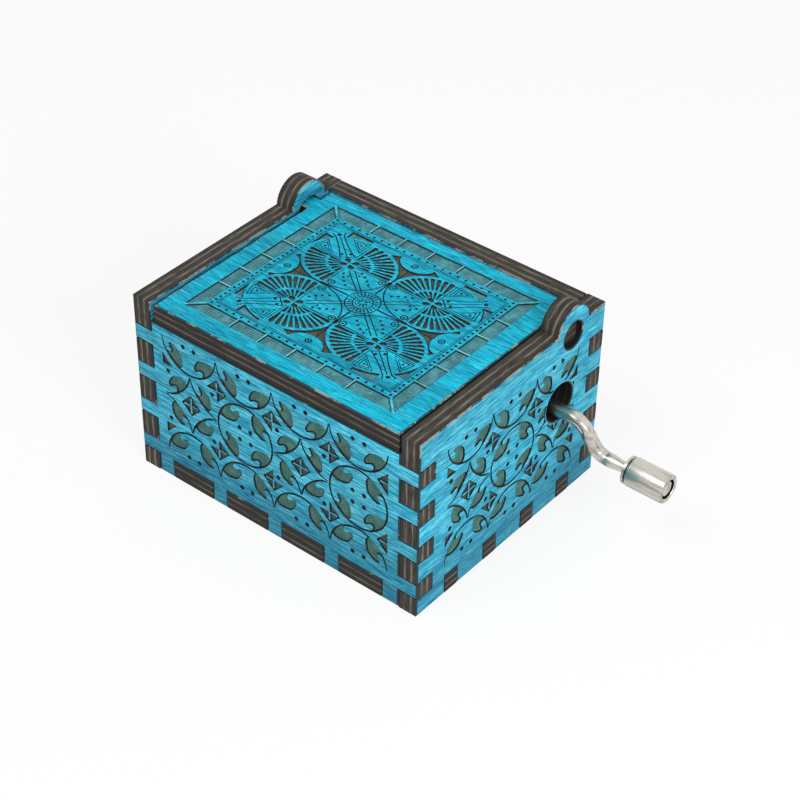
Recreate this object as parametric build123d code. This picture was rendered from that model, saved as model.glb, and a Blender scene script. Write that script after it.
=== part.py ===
from build123d import *
import os
from math import cos, hypot, pi, radians, sin, sqrt, tan

# Hand-crank music box: a finger-jointed plywood case with a hinged lid, round a comb and drum movement.
# Frame: the origin is the centre of the case's underside, +X points to the crank, -Y is the front and
# +Z is up. All sizes are in millimetres.

# ---------------------------------------------------------------- driving sizes: plywood case
BOX_LENGTH = 64.0           # along X, over the outer faces
BOX_DEPTH = 51.2            # along Y, over the outer faces
WALL_HEIGHT = 37.6          # sides and back, without the hinge ears
PLY = 4.0                   # thickness of the walls and the bottom
JOINT_GAP = 0.05            # what the laser takes off each side of a finger joint
FINGER_START = 3.85         # height of the lowest corner finger of the front and back
FINGER_HEIGHT = 3.45
FINGER_PITCH = 8.15
LONG_TAB = 9.55             # the bottom's tabs through the front and the back
LONG_TAB_PITCH = 13.05
SHORT_TAB = 3.4             # the bottom's tabs through the sides
SHORT_TAB_PITCH = 10.8
TABS_PER_SIDE = 4

# ---------------------------------------------------------------- driving sizes: lid and hinge
LID_PLY = 3.7
LID_SEAT_GAP = 0.2          # between the lid and the top of the front
LID_LEFT_GAP = 1.15
LID_RIGHT_GAP = 0.35
LID_SWING_GAP = 0.15        # between the lid's turning rear corner and the back
HINGE_TO_BACK = 9.4         # from the hinge axis to the back's outer face
HINGE_TAB_WIDTH = 3.7
HINGE_TAB_LENGTH = 3.5
HINGE_PLAY = 0.08           # between a tab's corners and its round hole
EAR_RADIUS = 4.6
EAR_RISE = 4.2              # of the ears above the walls

# ---------------------------------------------------------------- driving sizes: movement
BED_SIDE_GAP = 2.0          # from the right wall to the bedplate
BED_LENGTH = 46.5
BED_FRONT_GAP = 3.0         # from the front wall to the bedplate
BED_THICKNESS = 2.0
BED_CORNER = 3.0
CRANK_TO_BACK = 13.2        # from the crank's axis to the back's outer face
CRANK_TO_BED_REAR = 6.2
DRUM_TO_BED_RIGHT = 14.0    # from the drum's axis to the bedplate's right edge
DRUM_RADIUS = 6.5
DRUM_WALL = 0.7
TRACK_MARGIN = 0.72         # from the outer tracks of pins to the drum's ends
PIN_HEIGHT = 0.8
PIN_RADIUS = 0.22
PIN_ROOT = 0.4              # how deep a pin stands in the drum's wall
PIN_CLEARANCE = 0.3         # between the passing pins and the bedplate
FEWEST_PINS = 3             # on one of the drum's tracks
PIN_COUNTS = 3              # different numbers of pins that the tracks have
BEAT_PARTS = 4              # steps by which a pin may stand late
TRACK_TURN = 47.0           # degrees from one track's first pin to the next track's
CAP_THICKNESS = 1.5
ARBOR_RADIUS = 1.0
ARBOR_PROUD = 0.5           # of the arbor past its brackets
WHEEL_TEETH = 20
GEAR_MODULE = 0.55
ADDENDUM = 0.9 * GEAR_MODULE
DEDENDUM = 1.2 * GEAR_MODULE
GEAR_BACKLASH = 0.2         # taken off each tooth and off the worm's thread
PRESSURE_ANGLE = 20.0
WORM_PITCH_RADIUS = 3.0
WHEEL_WIDTH = 3.0
HUB_LENGTH = 1.6
HUB_RADIUS = 3.2

# ---------------------------------------------------------------- driving sizes: comb
TEETH = 18
SLOT_WIDTH = 0.35
COMB_THICKNESS = 1.4
TOOTH_THICKNESS = 0.55
COMB_ROOT_LENGTH = 10.2     # the thick part that is screwed down
COMB_SIDE = 0.4             # the root's width past the outer teeth
SLOPE_LENGTH = 1.2          # from the thick root to the thin teeth
LONG_TOOTH = 11.4
SHORT_TOOTH = 7.6
TIP_CLEARANCE = 0.2         # between the teeth and the circle of the pins
WEIGHTED_TEETH = 6
WEIGHT_LENGTH = 4.6
WEIGHT_HEIGHT = 2.0
WEIGHT_STEP = 0.22          # each weight is this much lower than the one before
WEIGHT_SETBACK = 1.8        # from the tip
COMB_SCREW_INSET = 4.48     # from the comb's sides

# ---------------------------------------------------------------- driving sizes: brackets and screws
SHEET = 1.5                 # thickness of both brackets
BRACKET_GAP = 0.6           # between the drum or wheel and a bracket
WHEEL_SIDE_GAP = 0.6        # between the wheel's tips and the worm bracket's ears
EAR_FRONT = 2.7             # of a bracket ear before the crank's axis
BRACKET_CROWN = 3.0         # of the bracket's ears above the crank's axis
WALL_CROWN = 3.0            # of the brackets above the drum's axis
CROWN_ROUND = 2.0
FRONT_BRACKET_WIDTH = 8.0
FRONT_FOOT = 3.8
FOOT_INSET = 0.4            # from the front foot to the bedplate's front edge
SIDE_FOOT = 5.5
SIDE_FOOT_WIDTH = 4.2
BUSH_RADIUS = 2.2
BUSH_FLANGE_RADIUS = 2.8
BUSH_FLANGE = 0.5
END_FLOAT = 0.2
CLIP_RADIUS = 2.6
CLIP_THICKNESS = 0.7
SHAFT_PAST_CLIP = 1.0
RUNNING_FIT = 0.05          # radial, between a shaft and its bearing
SEAT_FIT = 0.01             # radial, between pieces pressed or screwed together
SCREW_HOLE_FIT = 0.1
SMALL_SCREW_RADIUS = 0.9
SMALL_HEAD_RADIUS = 1.7
SMALL_HEAD_HEIGHT = 0.9
COMB_SCREW_RADIUS = 1.2
COMB_HEAD_RADIUS = 2.1
COMB_HEAD_HEIGHT = 1.2
SLOT_SHARE = 0.5            # of a screw head's height that its slot takes
SCREW_SLOT = 0.5
THREAD_SHORT = 0.4          # how far a screw's end stops inside the bedplate
BASE_SCREW_RADIUS = 1.25
BASE_HEAD_RADIUS = 2.3
BASE_HEAD_RECESS = 0.15
BASE_SCREW_INSET_X = 3.0
BASE_SCREW_INSET_Y = 2.8

# ---------------------------------------------------------------- driving sizes: crank and knob
ROD_RADIUS = 1.3
ROD_END_RADIUS = 0.95
CRANK_HOLE_RADIUS = 3.8
CRANK_HOLE_SHIFT_Y = 1.0    # the hole's centre from the crank's axis
CRANK_HOLE_SHIFT_Z = 0.7
BEND_FROM_WALL = 5.4        # from the right wall's face to the first bend's corner
BEND_RUN = 3.3              # along X between the two corners
CRANK_THROW = 6.9           # between the shaft's axis and the knob's
CRANK_TILT = 12.0           # degrees that the arm hangs back from straight down
BEND_RADIUS = 3.2
SHOULDER_PAST_BEND = 3.0    # from the second corner to the rod's smaller end
ROD_TO_WASHER = 3.15
WASHER_RADIUS = 2.65
WASHER_THICKNESS = 0.6
KNOB_GAP = 0.15             # along X, at both ends of the knob's bearing
KNOB_RADIUS = 2.75
KNOB_LENGTH = 7.6
KNOB_PLAY = 0.06
KNOB_MOUTH_RADIUS = 1.85
KNOB_MOUTH_DEPTH = 1.2
RIVET_RADIUS = 1.5
RIVET_THICKNESS = 0.95
KNOB_EDGE = 0.25

# ---------------------------------------------------------------- worked-out places
RIGHT_FACE = BOX_LENGTH / 2
FRONT_FACE = -BOX_DEPTH / 2
BACK_FACE = BOX_DEPTH / 2
INNER_X = RIGHT_FACE - PLY
INNER_Y = BACK_FACE - PLY
LID_BOTTOM = WALL_HEIGHT - LID_PLY
FRONT_HEIGHT = LID_BOTTOM - LID_SEAT_GAP

HINGE_Y = BACK_FACE - HINGE_TO_BACK
HINGE_Z = WALL_HEIGHT - LID_PLY / 2
HINGE_HOLE_RADIUS = hypot(LID_PLY, HINGE_TAB_WIDTH) / 2 + HINGE_PLAY
LID_REAR = HINGE_Y + sqrt((HINGE_TO_BACK - PLY - LID_SWING_GAP) ** 2 - (LID_PLY / 2) ** 2)
LID_LEFT = -INNER_X + LID_LEFT_GAP
LID_RIGHT = INNER_X - LID_RIGHT_GAP

BED_TOP = PLY + BED_THICKNESS
BED_RIGHT = INNER_X - BED_SIDE_GAP
BED_LEFT = BED_RIGHT - BED_LENGTH
PIN_CIRCLE = DRUM_RADIUS + PIN_HEIGHT
DRUM_X = BED_RIGHT - DRUM_TO_BED_RIGHT
DRUM_Z = BED_TOP + PIN_CLEARANCE + PIN_CIRCLE
WHEEL_PITCH_RADIUS = GEAR_MODULE * WHEEL_TEETH / 2
WORM_PITCH = pi * GEAR_MODULE
WHEEL_TIP_RADIUS = WHEEL_PITCH_RADIUS + ADDENDUM
CRANK_Y = BACK_FACE - CRANK_TO_BACK
CRANK_Z = DRUM_Z + WHEEL_PITCH_RADIUS + WORM_PITCH_RADIUS
BED_REAR = CRANK_Y + CRANK_TO_BED_REAR
BED_FRONT = FRONT_FACE + PLY + BED_FRONT_GAP
WHEEL_REAR = CRANK_Y + WHEEL_WIDTH / 2
WHEEL_FRONT = CRANK_Y - WHEEL_WIDTH / 2
FRONT_PLATE_FRONT = BED_FRONT + FOOT_INSET + FRONT_FOOT
FRONT_PLATE_REAR = FRONT_PLATE_FRONT + SHEET
DRUM_FRONT = FRONT_PLATE_REAR + BRACKET_GAP
DRUM_REAR = WHEEL_FRONT - HUB_LENGTH

EAR_INSIDE = WHEEL_TIP_RADIUS + WHEEL_SIDE_GAP
EAR_OUTSIDE = EAR_INSIDE + SHEET
REAR_WALL_FRONT = WHEEL_REAR + BRACKET_GAP
REAR_WALL_REAR = REAR_WALL_FRONT + SHEET
BRACKET_FRONT = CRANK_Y - EAR_FRONT
FRONT_SCREW = (DRUM_X, FRONT_PLATE_FRONT - FRONT_FOOT / 2)
SIDE_SCREWS = [(DRUM_X + side * (EAR_OUTSIDE + SIDE_FOOT / 2), BRACKET_FRONT + SIDE_FOOT_WIDTH / 2)
               for side in (-1, 1)]
WORM_LENGTH = 2 * (EAR_INSIDE - BUSH_FLANGE - END_FLOAT)

TOOTH_PITCH = (DRUM_REAR - DRUM_FRONT - 2 * TRACK_MARGIN) / TEETH
COMB_HALF_WIDTH = TEETH * TOOTH_PITCH / 2 + COMB_SIDE
COMB_TOP = DRUM_Z + TOOTH_THICKNESS / 2
COMB_BOTTOM = COMB_TOP - COMB_THICKNESS
COMB_Y = (DRUM_FRONT + DRUM_REAR) / 2
TIP_X = DRUM_X - PIN_CIRCLE - TIP_CLEARANCE
COMB_RIGHT = TIP_X - LONG_TOOTH
COMB_LEFT = COMB_RIGHT - COMB_ROOT_LENGTH
COMB_SCREWS = [(COMB_RIGHT - COMB_ROOT_LENGTH / 2, COMB_Y + side * (COMB_HALF_WIDTH - COMB_SCREW_INSET))
               for side in (-1, 1)]
BASE_SCREWS = [(x, y) for x in (BED_LEFT + BASE_SCREW_INSET_X, BED_RIGHT - BASE_SCREW_INSET_X)
               for y in (BED_FRONT + BASE_SCREW_INSET_Y, BED_REAR - BASE_SCREW_INSET_Y)]
BASE_HEAD_DEPTH = BASE_HEAD_RADIUS - BASE_SCREW_RADIUS

BEND_X = RIGHT_FACE + BEND_FROM_WALL
ARM_END_X = BEND_X + BEND_RUN
SHOULDER_X = ARM_END_X + SHOULDER_PAST_BEND
WASHER_X = SHOULDER_X + ROD_TO_WASHER
KNOB_X = WASHER_X + WASHER_THICKNESS + KNOB_GAP
RIVET_X = KNOB_X + KNOB_LENGTH - KNOB_MOUTH_DEPTH + KNOB_GAP
KNOB_Y = CRANK_Y + CRANK_THROW * sin(radians(CRANK_TILT))
KNOB_Z = CRANK_Z - CRANK_THROW * cos(radians(CRANK_TILT))
CLIP_X = DRUM_X - EAR_OUTSIDE - END_FLOAT - CLIP_THICKNESS
SHAFT_LEFT = CLIP_X - SHAFT_PAST_CLIP

CUT = 1.0                   # how far a cutting tool runs past the wood or metal it cuts
FLANK_STEPS = 4             # spline spans along a side of the worm's thread


# ---------------------------------------------------------------- helpers
def block(x0, x1, y0, y1, z0, z1):
    """A box between two corners."""
    return Pos((x0 + x1) / 2, (y0 + y1) / 2, (z0 + z1) / 2) * Box(x1 - x0, y1 - y0, z1 - z0)


def rod_along(axis, start, end, radius):
    """A cylinder along X, Y or Z from a start point to a coordinate on that axis."""
    direction = {"X": (1, 0, 0), "Y": (0, 1, 0), "Z": (0, 0, 1)}[axis]
    length = end - start["XYZ".index(axis)]
    turned = Plane(origin=start, z_dir=direction)
    return turned * Cylinder(radius, length, align=(Align.CENTER, Align.CENTER, Align.MIN))


def ring(axis, start, end, radius, bore):
    """A tube along an axis, from a start point to a coordinate on that axis."""
    body = rod_along(axis, start, end, radius)
    return body - rod_along(axis, start, end, bore)


def group(shapes):
    """Several separate solids that share one node."""
    return Compound(children=[solid for shape in shapes for solid in shape.solids()])


def centred_steps(count, pitch):
    """Positions of evenly spaced copies about zero."""
    return [(i - (count - 1) / 2) * pitch for i in range(count)]


def finger_heights(panel_height):
    """Lower edges of the corner fingers that fit on a front or back of this height."""
    room = panel_height - FINGER_START - FINGER_HEIGHT
    return [FINGER_START + i * FINGER_PITCH for i in range(int(room / FINGER_PITCH) + 1)]


def slotted_screw(x, y, seat, end, radius, head_radius, head_height):
    """A cheese-head screw that stands on a seat and goes down to a lower end."""
    shank = rod_along("Z", (x, y, end), seat, radius)
    head = rod_along("Z", (x, y, seat), seat + head_height, head_radius)
    top = seat + head_height
    slot = block(x - head_radius - CUT, x + head_radius + CUT, y - SCREW_SLOT / 2, y + SCREW_SLOT / 2,
                 top - SLOT_SHARE * head_height, top + CUT)
    return shank + head - slot


# ---------------------------------------------------------------- plywood case
def bottom_panel():
    """The bottom, with tabs through all four walls and countersunk holes for the base screws."""
    long_half = LONG_TAB / 2 - JOINT_GAP
    short_half = SHORT_TAB / 2 - JOINT_GAP
    tabs = [block(x - long_half, x + long_half, FRONT_FACE, BACK_FACE, 0, PLY)
            for x in centred_steps(TABS_PER_SIDE, LONG_TAB_PITCH)]
    tabs += [block(-RIGHT_FACE, RIGHT_FACE, y - short_half, y + short_half, 0, PLY)
             for y in centred_steps(TABS_PER_SIDE, SHORT_TAB_PITCH)]
    head = BASE_HEAD_RADIUS + SCREW_HOLE_FIT
    shank = BASE_SCREW_RADIUS + SCREW_HOLE_FIT
    holes = []
    for x, y in BASE_SCREWS:
        holes.append(rod_along("Z", (x, y, -CUT), PLY + CUT, shank))
        holes.append(rod_along("Z", (x, y, -CUT), BASE_HEAD_RECESS, head))
        holes.append(Pos(x, y, BASE_HEAD_RECESS + (head - shank) / 2) * Cone(head, shank, head - shank))
    return block(-INNER_X, INNER_X, -INNER_Y, INNER_Y, 0, PLY) + tabs - holes


def end_panel(outer, inner, height):
    """The front or the back: between the sides, with fingers to their outer faces."""
    low_y, high_y = min(outer, inner), max(outer, inner)
    edge = INNER_X - JOINT_GAP
    fingers = [block(-RIGHT_FACE, RIGHT_FACE, low_y, high_y, z + JOINT_GAP, z + FINGER_HEIGHT - JOINT_GAP)
               for z in finger_heights(FRONT_HEIGHT)]
    notches = [block(x - LONG_TAB / 2, x + LONG_TAB / 2, low_y - CUT, high_y + CUT, -CUT, PLY)
               for x in centred_steps(TABS_PER_SIDE, LONG_TAB_PITCH)]
    return block(-edge, edge, low_y, high_y, 0, height) + fingers - notches


def side_panel(outer, inner):
    """A side: the full depth of the case, with the hinge ear and notches for fingers and tabs."""
    low_x, high_x = min(outer, inner), max(outer, inner)
    panel = block(low_x, high_x, FRONT_FACE, BACK_FACE, 0, WALL_HEIGHT)
    ear_centre = WALL_HEIGHT + EAR_RISE - EAR_RADIUS
    ear = rod_along("X", (low_x, HINGE_Y, ear_centre), high_x, EAR_RADIUS)
    cuts = [rod_along("X", (low_x - CUT, HINGE_Y, HINGE_Z), high_x + CUT, HINGE_HOLE_RADIUS)]
    cuts += [block(low_x - CUT, high_x + CUT, y0, y1, z, z + FINGER_HEIGHT)
             for z in finger_heights(FRONT_HEIGHT)
             for y0, y1 in ((FRONT_FACE - CUT, -INNER_Y), (INNER_Y, BACK_FACE + CUT))]
    cuts += [block(low_x - CUT, high_x + CUT, y - SHORT_TAB / 2, y + SHORT_TAB / 2, -CUT, PLY)
             for y in centred_steps(TABS_PER_SIDE, SHORT_TAB_PITCH)]
    return panel + ear - cuts


def right_panel():
    """The side that the crank comes out of."""
    hole = (INNER_X - CUT, CRANK_Y + CRANK_HOLE_SHIFT_Y, CRANK_Z + CRANK_HOLE_SHIFT_Z)
    return side_panel(RIGHT_FACE, INNER_X) - rod_along("X", hole, RIGHT_FACE + CUT, CRANK_HOLE_RADIUS)


def lid_panel():
    """The lid: flush with the walls, with a square tab at each side that turns in the ear's hole."""
    half_tab = HINGE_TAB_WIDTH / 2
    return (block(LID_LEFT, LID_RIGHT, FRONT_FACE, LID_REAR, LID_BOTTOM, WALL_HEIGHT)
            + block(LID_LEFT - HINGE_TAB_LENGTH, LID_RIGHT + HINGE_TAB_LENGTH,
                    HINGE_Y - half_tab, HINGE_Y + half_tab, LID_BOTTOM, WALL_HEIGHT))


# ---------------------------------------------------------------- movement: fixed pieces
def bedplate():
    """The movement's base, with threaded holes for every screw."""
    plate = block(BED_LEFT, BED_RIGHT, BED_FRONT, BED_REAR, PLY, BED_TOP)
    plate = fillet(plate.edges().filter_by(Axis.Z), BED_CORNER)
    kinds = [(BASE_SCREWS, BASE_SCREW_RADIUS), (SIDE_SCREWS + [FRONT_SCREW], SMALL_SCREW_RADIUS),
             (COMB_SCREWS, COMB_SCREW_RADIUS)]
    return plate - [rod_along("Z", (x, y, PLY - CUT), BED_TOP + CUT, radius + SEAT_FIT)
                    for places, radius in kinds for x, y in places]


def comb_shoe():
    """The block that lifts the comb to the drum's height."""
    shoe = block(COMB_LEFT, COMB_RIGHT - SLOPE_LENGTH, COMB_Y - COMB_HALF_WIDTH, COMB_Y + COMB_HALF_WIDTH,
                 BED_TOP, COMB_BOTTOM)
    for x, y in COMB_SCREWS:
        shoe -= rod_along("Z", (x, y, BED_TOP - CUT), COMB_BOTTOM + CUT, COMB_SCREW_RADIUS + SCREW_HOLE_FIT)
    return shoe


def comb():
    """The steel comb: a thick root that slopes to thin teeth, cut apart by slots of falling length."""
    tooth_under = COMB_TOP - TOOTH_THICKNESS
    outline = [(COMB_LEFT, COMB_BOTTOM), (COMB_RIGHT - SLOPE_LENGTH, COMB_BOTTOM), (COMB_RIGHT, tooth_under),
               (TIP_X, tooth_under), (TIP_X, COMB_TOP), (COMB_LEFT, COMB_TOP)]
    section = Plane.XZ.offset(COMB_HALF_WIDTH - COMB_Y) * make_face(Polyline(outline, close=True))
    steel = extrude(section, -2 * COMB_HALF_WIDTH)
    cuts = []
    for i, y in enumerate(centred_steps(TEETH + 1, TOOTH_PITCH)):
        reach = LONG_TOOTH + (SHORT_TOOTH - LONG_TOOTH) * i / TEETH
        low = y - SLOT_WIDTH / 2 if i > 0 else y - COMB_SIDE - CUT
        high = y + SLOT_WIDTH / 2 if i < TEETH else y + COMB_SIDE + CUT
        cuts.append(block(TIP_X - reach, TIP_X + CUT, COMB_Y + low, COMB_Y + high,
                          COMB_BOTTOM - CUT, COMB_TOP + CUT))
    cuts += [rod_along("Z", (x, y, COMB_BOTTOM - CUT), COMB_TOP + CUT, COMB_SCREW_RADIUS + SCREW_HOLE_FIT)
             for x, y in COMB_SCREWS]
    return steel - cuts


def comb_weights():
    """Lead blocks under the longest teeth, each lower than the one before."""
    half = (TOOTH_PITCH - SLOT_WIDTH) / 2
    top = COMB_TOP - TOOTH_THICKNESS
    right = TIP_X - WEIGHT_SETBACK
    return group([block(right - WEIGHT_LENGTH, right, COMB_Y + y - half, COMB_Y + y + half,
                        top - WEIGHT_HEIGHT + i * WEIGHT_STEP, top)
                  for i, y in enumerate(centred_steps(TEETH, TOOTH_PITCH)[:WEIGHTED_TEETH])])


def comb_screws():
    """Two screws through the comb and its shoe into the bedplate."""
    return group([slotted_screw(x, y, COMB_TOP, PLY + THREAD_SHORT, COMB_SCREW_RADIUS, COMB_HEAD_RADIUS,
                                COMB_HEAD_HEIGHT) for x, y in COMB_SCREWS])


def bracket_screws():
    """Three screws that hold the two brackets."""
    return group([slotted_screw(x, y, BED_TOP + SHEET, PLY + THREAD_SHORT, SMALL_SCREW_RADIUS,
                                SMALL_HEAD_RADIUS, SMALL_HEAD_HEIGHT)
                  for x, y in SIDE_SCREWS + [FRONT_SCREW]])


def base_screws():
    """Four countersunk screws from below, through the bottom into the bedplate."""
    screws = []
    for x, y in BASE_SCREWS:
        screw = rod_along("Z", (x, y, BASE_HEAD_RECESS), BED_TOP - THREAD_SHORT, BASE_SCREW_RADIUS)
        screw += (Pos(x, y, BASE_HEAD_RECESS + BASE_HEAD_DEPTH / 2)
                  * Cone(BASE_HEAD_RADIUS, BASE_SCREW_RADIUS, BASE_HEAD_DEPTH))
        slot_top = BASE_HEAD_RECESS + SLOT_SHARE * BASE_HEAD_DEPTH
        screws.append(screw - block(x - BASE_HEAD_RADIUS - CUT, x + BASE_HEAD_RADIUS + CUT,
                                    y - SCREW_SLOT / 2, y + SCREW_SLOT / 2, -CUT, slot_top))
    return group(screws)


def crowned(plate, axis):
    """A bracket's plate with its two top corners rounded."""
    return fillet(plate.edges().filter_by(axis).group_by(Axis.Z)[-1], CROWN_ROUND)


def front_bracket():
    """The angle that carries the front end of the drum's arbor."""
    half = FRONT_BRACKET_WIDTH / 2
    plate = crowned(block(DRUM_X - half, DRUM_X + half, FRONT_PLATE_FRONT, FRONT_PLATE_REAR,
                          BED_TOP, DRUM_Z + WALL_CROWN), Axis.Y)
    foot = block(DRUM_X - half, DRUM_X + half, FRONT_PLATE_FRONT - FRONT_FOOT, FRONT_PLATE_FRONT,
                 BED_TOP, BED_TOP + SHEET)
    bore = rod_along("Y", (DRUM_X, FRONT_PLATE_FRONT - CUT, DRUM_Z), FRONT_PLATE_REAR + CUT,
                     ARBOR_RADIUS + RUNNING_FIT)
    hole = rod_along("Z", (*FRONT_SCREW, BED_TOP - CUT), BED_TOP + SHEET + CUT,
                     SMALL_SCREW_RADIUS + SCREW_HOLE_FIT)
    return plate + foot - bore - hole


def worm_bracket():
    """The bent bracket round the wheel: a rear wall for the arbor and two ears for the crank's shaft."""
    bracket = block(DRUM_X - EAR_OUTSIDE, DRUM_X + EAR_OUTSIDE, REAR_WALL_FRONT, REAR_WALL_REAR,
                    BED_TOP, DRUM_Z + WALL_CROWN)
    for side in (-1, 1):
        near, far = sorted((DRUM_X + side * EAR_INSIDE, DRUM_X + side * EAR_OUTSIDE))
        ear = crowned(block(near, far, BRACKET_FRONT, REAR_WALL_REAR, BED_TOP, CRANK_Z + BRACKET_CROWN),
                      Axis.X)
        foot_near, foot_far = sorted((DRUM_X + side * EAR_OUTSIDE, DRUM_X + side * (EAR_OUTSIDE + SIDE_FOOT)))
        foot = block(foot_near, foot_far, BRACKET_FRONT, BRACKET_FRONT + SIDE_FOOT_WIDTH, BED_TOP,
                     BED_TOP + SHEET)
        bracket += ear + foot
        bracket -= rod_along("X", (near - CUT, CRANK_Y, CRANK_Z), far + CUT, BUSH_RADIUS + SEAT_FIT)
    bracket -= rod_along("Y", (DRUM_X, REAR_WALL_FRONT - CUT, DRUM_Z), REAR_WALL_REAR + CUT,
                         ARBOR_RADIUS + RUNNING_FIT)
    for x, y in SIDE_SCREWS:
        bracket -= rod_along("Z", (x, y, BED_TOP - CUT), BED_TOP + SHEET + CUT,
                             SMALL_SCREW_RADIUS + SCREW_HOLE_FIT)
    return bracket


def crank_bush(side):
    """A flanged bush in one ear of the worm bracket; its flange faces the worm."""
    inside, outside = DRUM_X + side * EAR_INSIDE, DRUM_X + side * EAR_OUTSIDE
    flange = inside - side * BUSH_FLANGE
    sleeve = sorted((flange, outside))
    collar = sorted((flange, inside))
    body = (rod_along("X", (sleeve[0], CRANK_Y, CRANK_Z), sleeve[1], BUSH_RADIUS)
            + rod_along("X", (collar[0], CRANK_Y, CRANK_Z), collar[1], BUSH_FLANGE_RADIUS))
    return body - rod_along("X", (sleeve[0] - CUT, CRANK_Y, CRANK_Z), sleeve[1] + CUT,
                            ROD_RADIUS + RUNNING_FIT)


# ---------------------------------------------------------------- movement: drum and gears
def pin_angles(track):
    """Where one track's pins stand round the drum, in degrees: an even, made-up tune."""
    count = FEWEST_PINS + 2 * track % PIN_COUNTS
    spread = 360 / count
    return [track * TRACK_TURN + (i + i * track % BEAT_PARTS / (BEAT_PARTS + 1)) * spread
            for i in range(count)]


def drum():
    """The brass sleeve, with pins raised on it in line with the comb's teeth."""
    sleeve = ring("Y", (DRUM_X, DRUM_FRONT, DRUM_Z), DRUM_REAR, DRUM_RADIUS, DRUM_RADIUS - DRUM_WALL)
    pin = Cylinder(PIN_RADIUS, PIN_ROOT + PIN_HEIGHT, align=(Align.CENTER, Align.CENTER, Align.MIN))
    standing = Pos(0, 0, DRUM_RADIUS - PIN_ROOT) * pin
    return sleeve + [Pos(DRUM_X, COMB_Y + y, DRUM_Z) * Rot(0, angle, 0) * standing
                     for track, y in enumerate(centred_steps(TEETH, TOOTH_PITCH))
                     for angle in pin_angles(track)]


def drum_cap(start, end):
    """A disc that closes one end of the sleeve and is pressed on the arbor."""
    return ring("Y", (DRUM_X, start, DRUM_Z), end, DRUM_RADIUS - DRUM_WALL - SEAT_FIT,
                ARBOR_RADIUS + SEAT_FIT)


def drum_arbor():
    """The shaft through the drum and the wheel, carried by both brackets."""
    return rod_along("Y", (DRUM_X, FRONT_PLATE_FRONT - ARBOR_PROUD, DRUM_Z), REAR_WALL_REAR + ARBOR_PROUD,
                     ARBOR_RADIUS)


def tooth_half_width(height):
    """Half the width of a gear tooth or of the worm's thread at a height above the pitch line."""
    return (WORM_PITCH / 2 - GEAR_BACKLASH) / 2 - height * tan(radians(PRESSURE_ANGLE))


def lead_per_turn_rate():
    """How far the worm's thread leans along X for each mm along Y at its lowest point."""
    return WORM_PITCH / (2 * pi * WORM_PITCH_RADIUS)


def worm_wheel():
    """The wheel: trapezoid teeth that lean with the worm's thread, one of them at the top."""
    tip, root = WHEEL_TIP_RADIUS, WHEEL_PITCH_RADIUS - DEDENDUM
    points = []
    for i in range(WHEEL_TEETH):
        middle = -pi / 2 + 2 * pi * i / WHEEL_TEETH
        corners = [(root, -tooth_half_width(-DEDENDUM)), (tip, -tooth_half_width(ADDENDUM)),
                   (tip, tooth_half_width(ADDENDUM)), (root, tooth_half_width(-DEDENDUM))]
        points += [(radius * cos(middle + offset / radius), radius * sin(middle + offset / radius))
                   for radius, offset in corners]
    twist = lead_per_turn_rate() * WHEEL_WIDTH / WHEEL_PITCH_RADIUS * 180 / pi
    profile = make_face(Polyline(points, close=True))
    rear_plane = Plane(origin=(DRUM_X, WHEEL_FRONT, DRUM_Z), x_dir=(1, 0, 0), z_dir=(0, 1, 0))
    blank = Solid.extrude_linear_with_rotation(profile.face(), (0, 0, 0), (0, 0, WHEEL_WIDTH), twist)
    teeth = rear_plane * Rot(0, 0, -twist / 2) * blank
    hub = rod_along("Y", (DRUM_X, DRUM_REAR, DRUM_Z), WHEEL_FRONT, HUB_RADIUS)
    bore = rod_along("Y", (DRUM_X, DRUM_REAR - CUT, DRUM_Z), WHEEL_REAR + CUT, ARBOR_RADIUS + SEAT_FIT)
    return teeth + hub - bore


def worm():
    """The single-start worm: its cross-section, a core with one lobe, is carried along X and turned."""
    middle = radians(90) - pi * WORM_LENGTH / WORM_PITCH
    flank = []
    for i in range(FLANK_STEPS + 1):
        height = -DEDENDUM + (ADDENDUM + DEDENDUM) * i / FLANK_STEPS
        flank.append((WORM_PITCH_RADIUS + height, 2 * pi * tooth_half_width(height) / WORM_PITCH))

    def at(radius, angle):
        return (radius * cos(middle + angle), radius * sin(middle + angle))

    rising = [at(radius, -angle) for radius, angle in flank]
    falling = [at(radius, angle) for radius, angle in reversed(flank)]
    crest = ThreePointArc(rising[-1], at(flank[-1][0], 0), falling[0])
    core = ThreePointArc(falling[-1], at(flank[0][0], pi), rising[0])
    section = make_face([Spline(*rising), crest, Spline(*falling), core])
    turns = 360 * WORM_LENGTH / WORM_PITCH
    thread = Solid.extrude_linear_with_rotation(section.face(), (0, 0, 0), (0, 0, WORM_LENGTH), turns)
    start = Plane(origin=(DRUM_X - WORM_LENGTH / 2, CRANK_Y, CRANK_Z), x_dir=(0, 1, 0), z_dir=(1, 0, 0))
    bore = rod_along("X", (DRUM_X - WORM_LENGTH / 2 - CUT, CRANK_Y, CRANK_Z), DRUM_X + WORM_LENGTH / 2 + CUT,
                     ROD_RADIUS + SEAT_FIT)
    return start * thread - bore


# ---------------------------------------------------------------- crank and knob
def tilted(shape):
    """Turns a piece of the hanging crank about the shaft to where the arm stands at rest."""
    return shape.rotate(Axis((0, CRANK_Y, CRANK_Z), (1, 0, 0)), CRANK_TILT)


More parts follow.
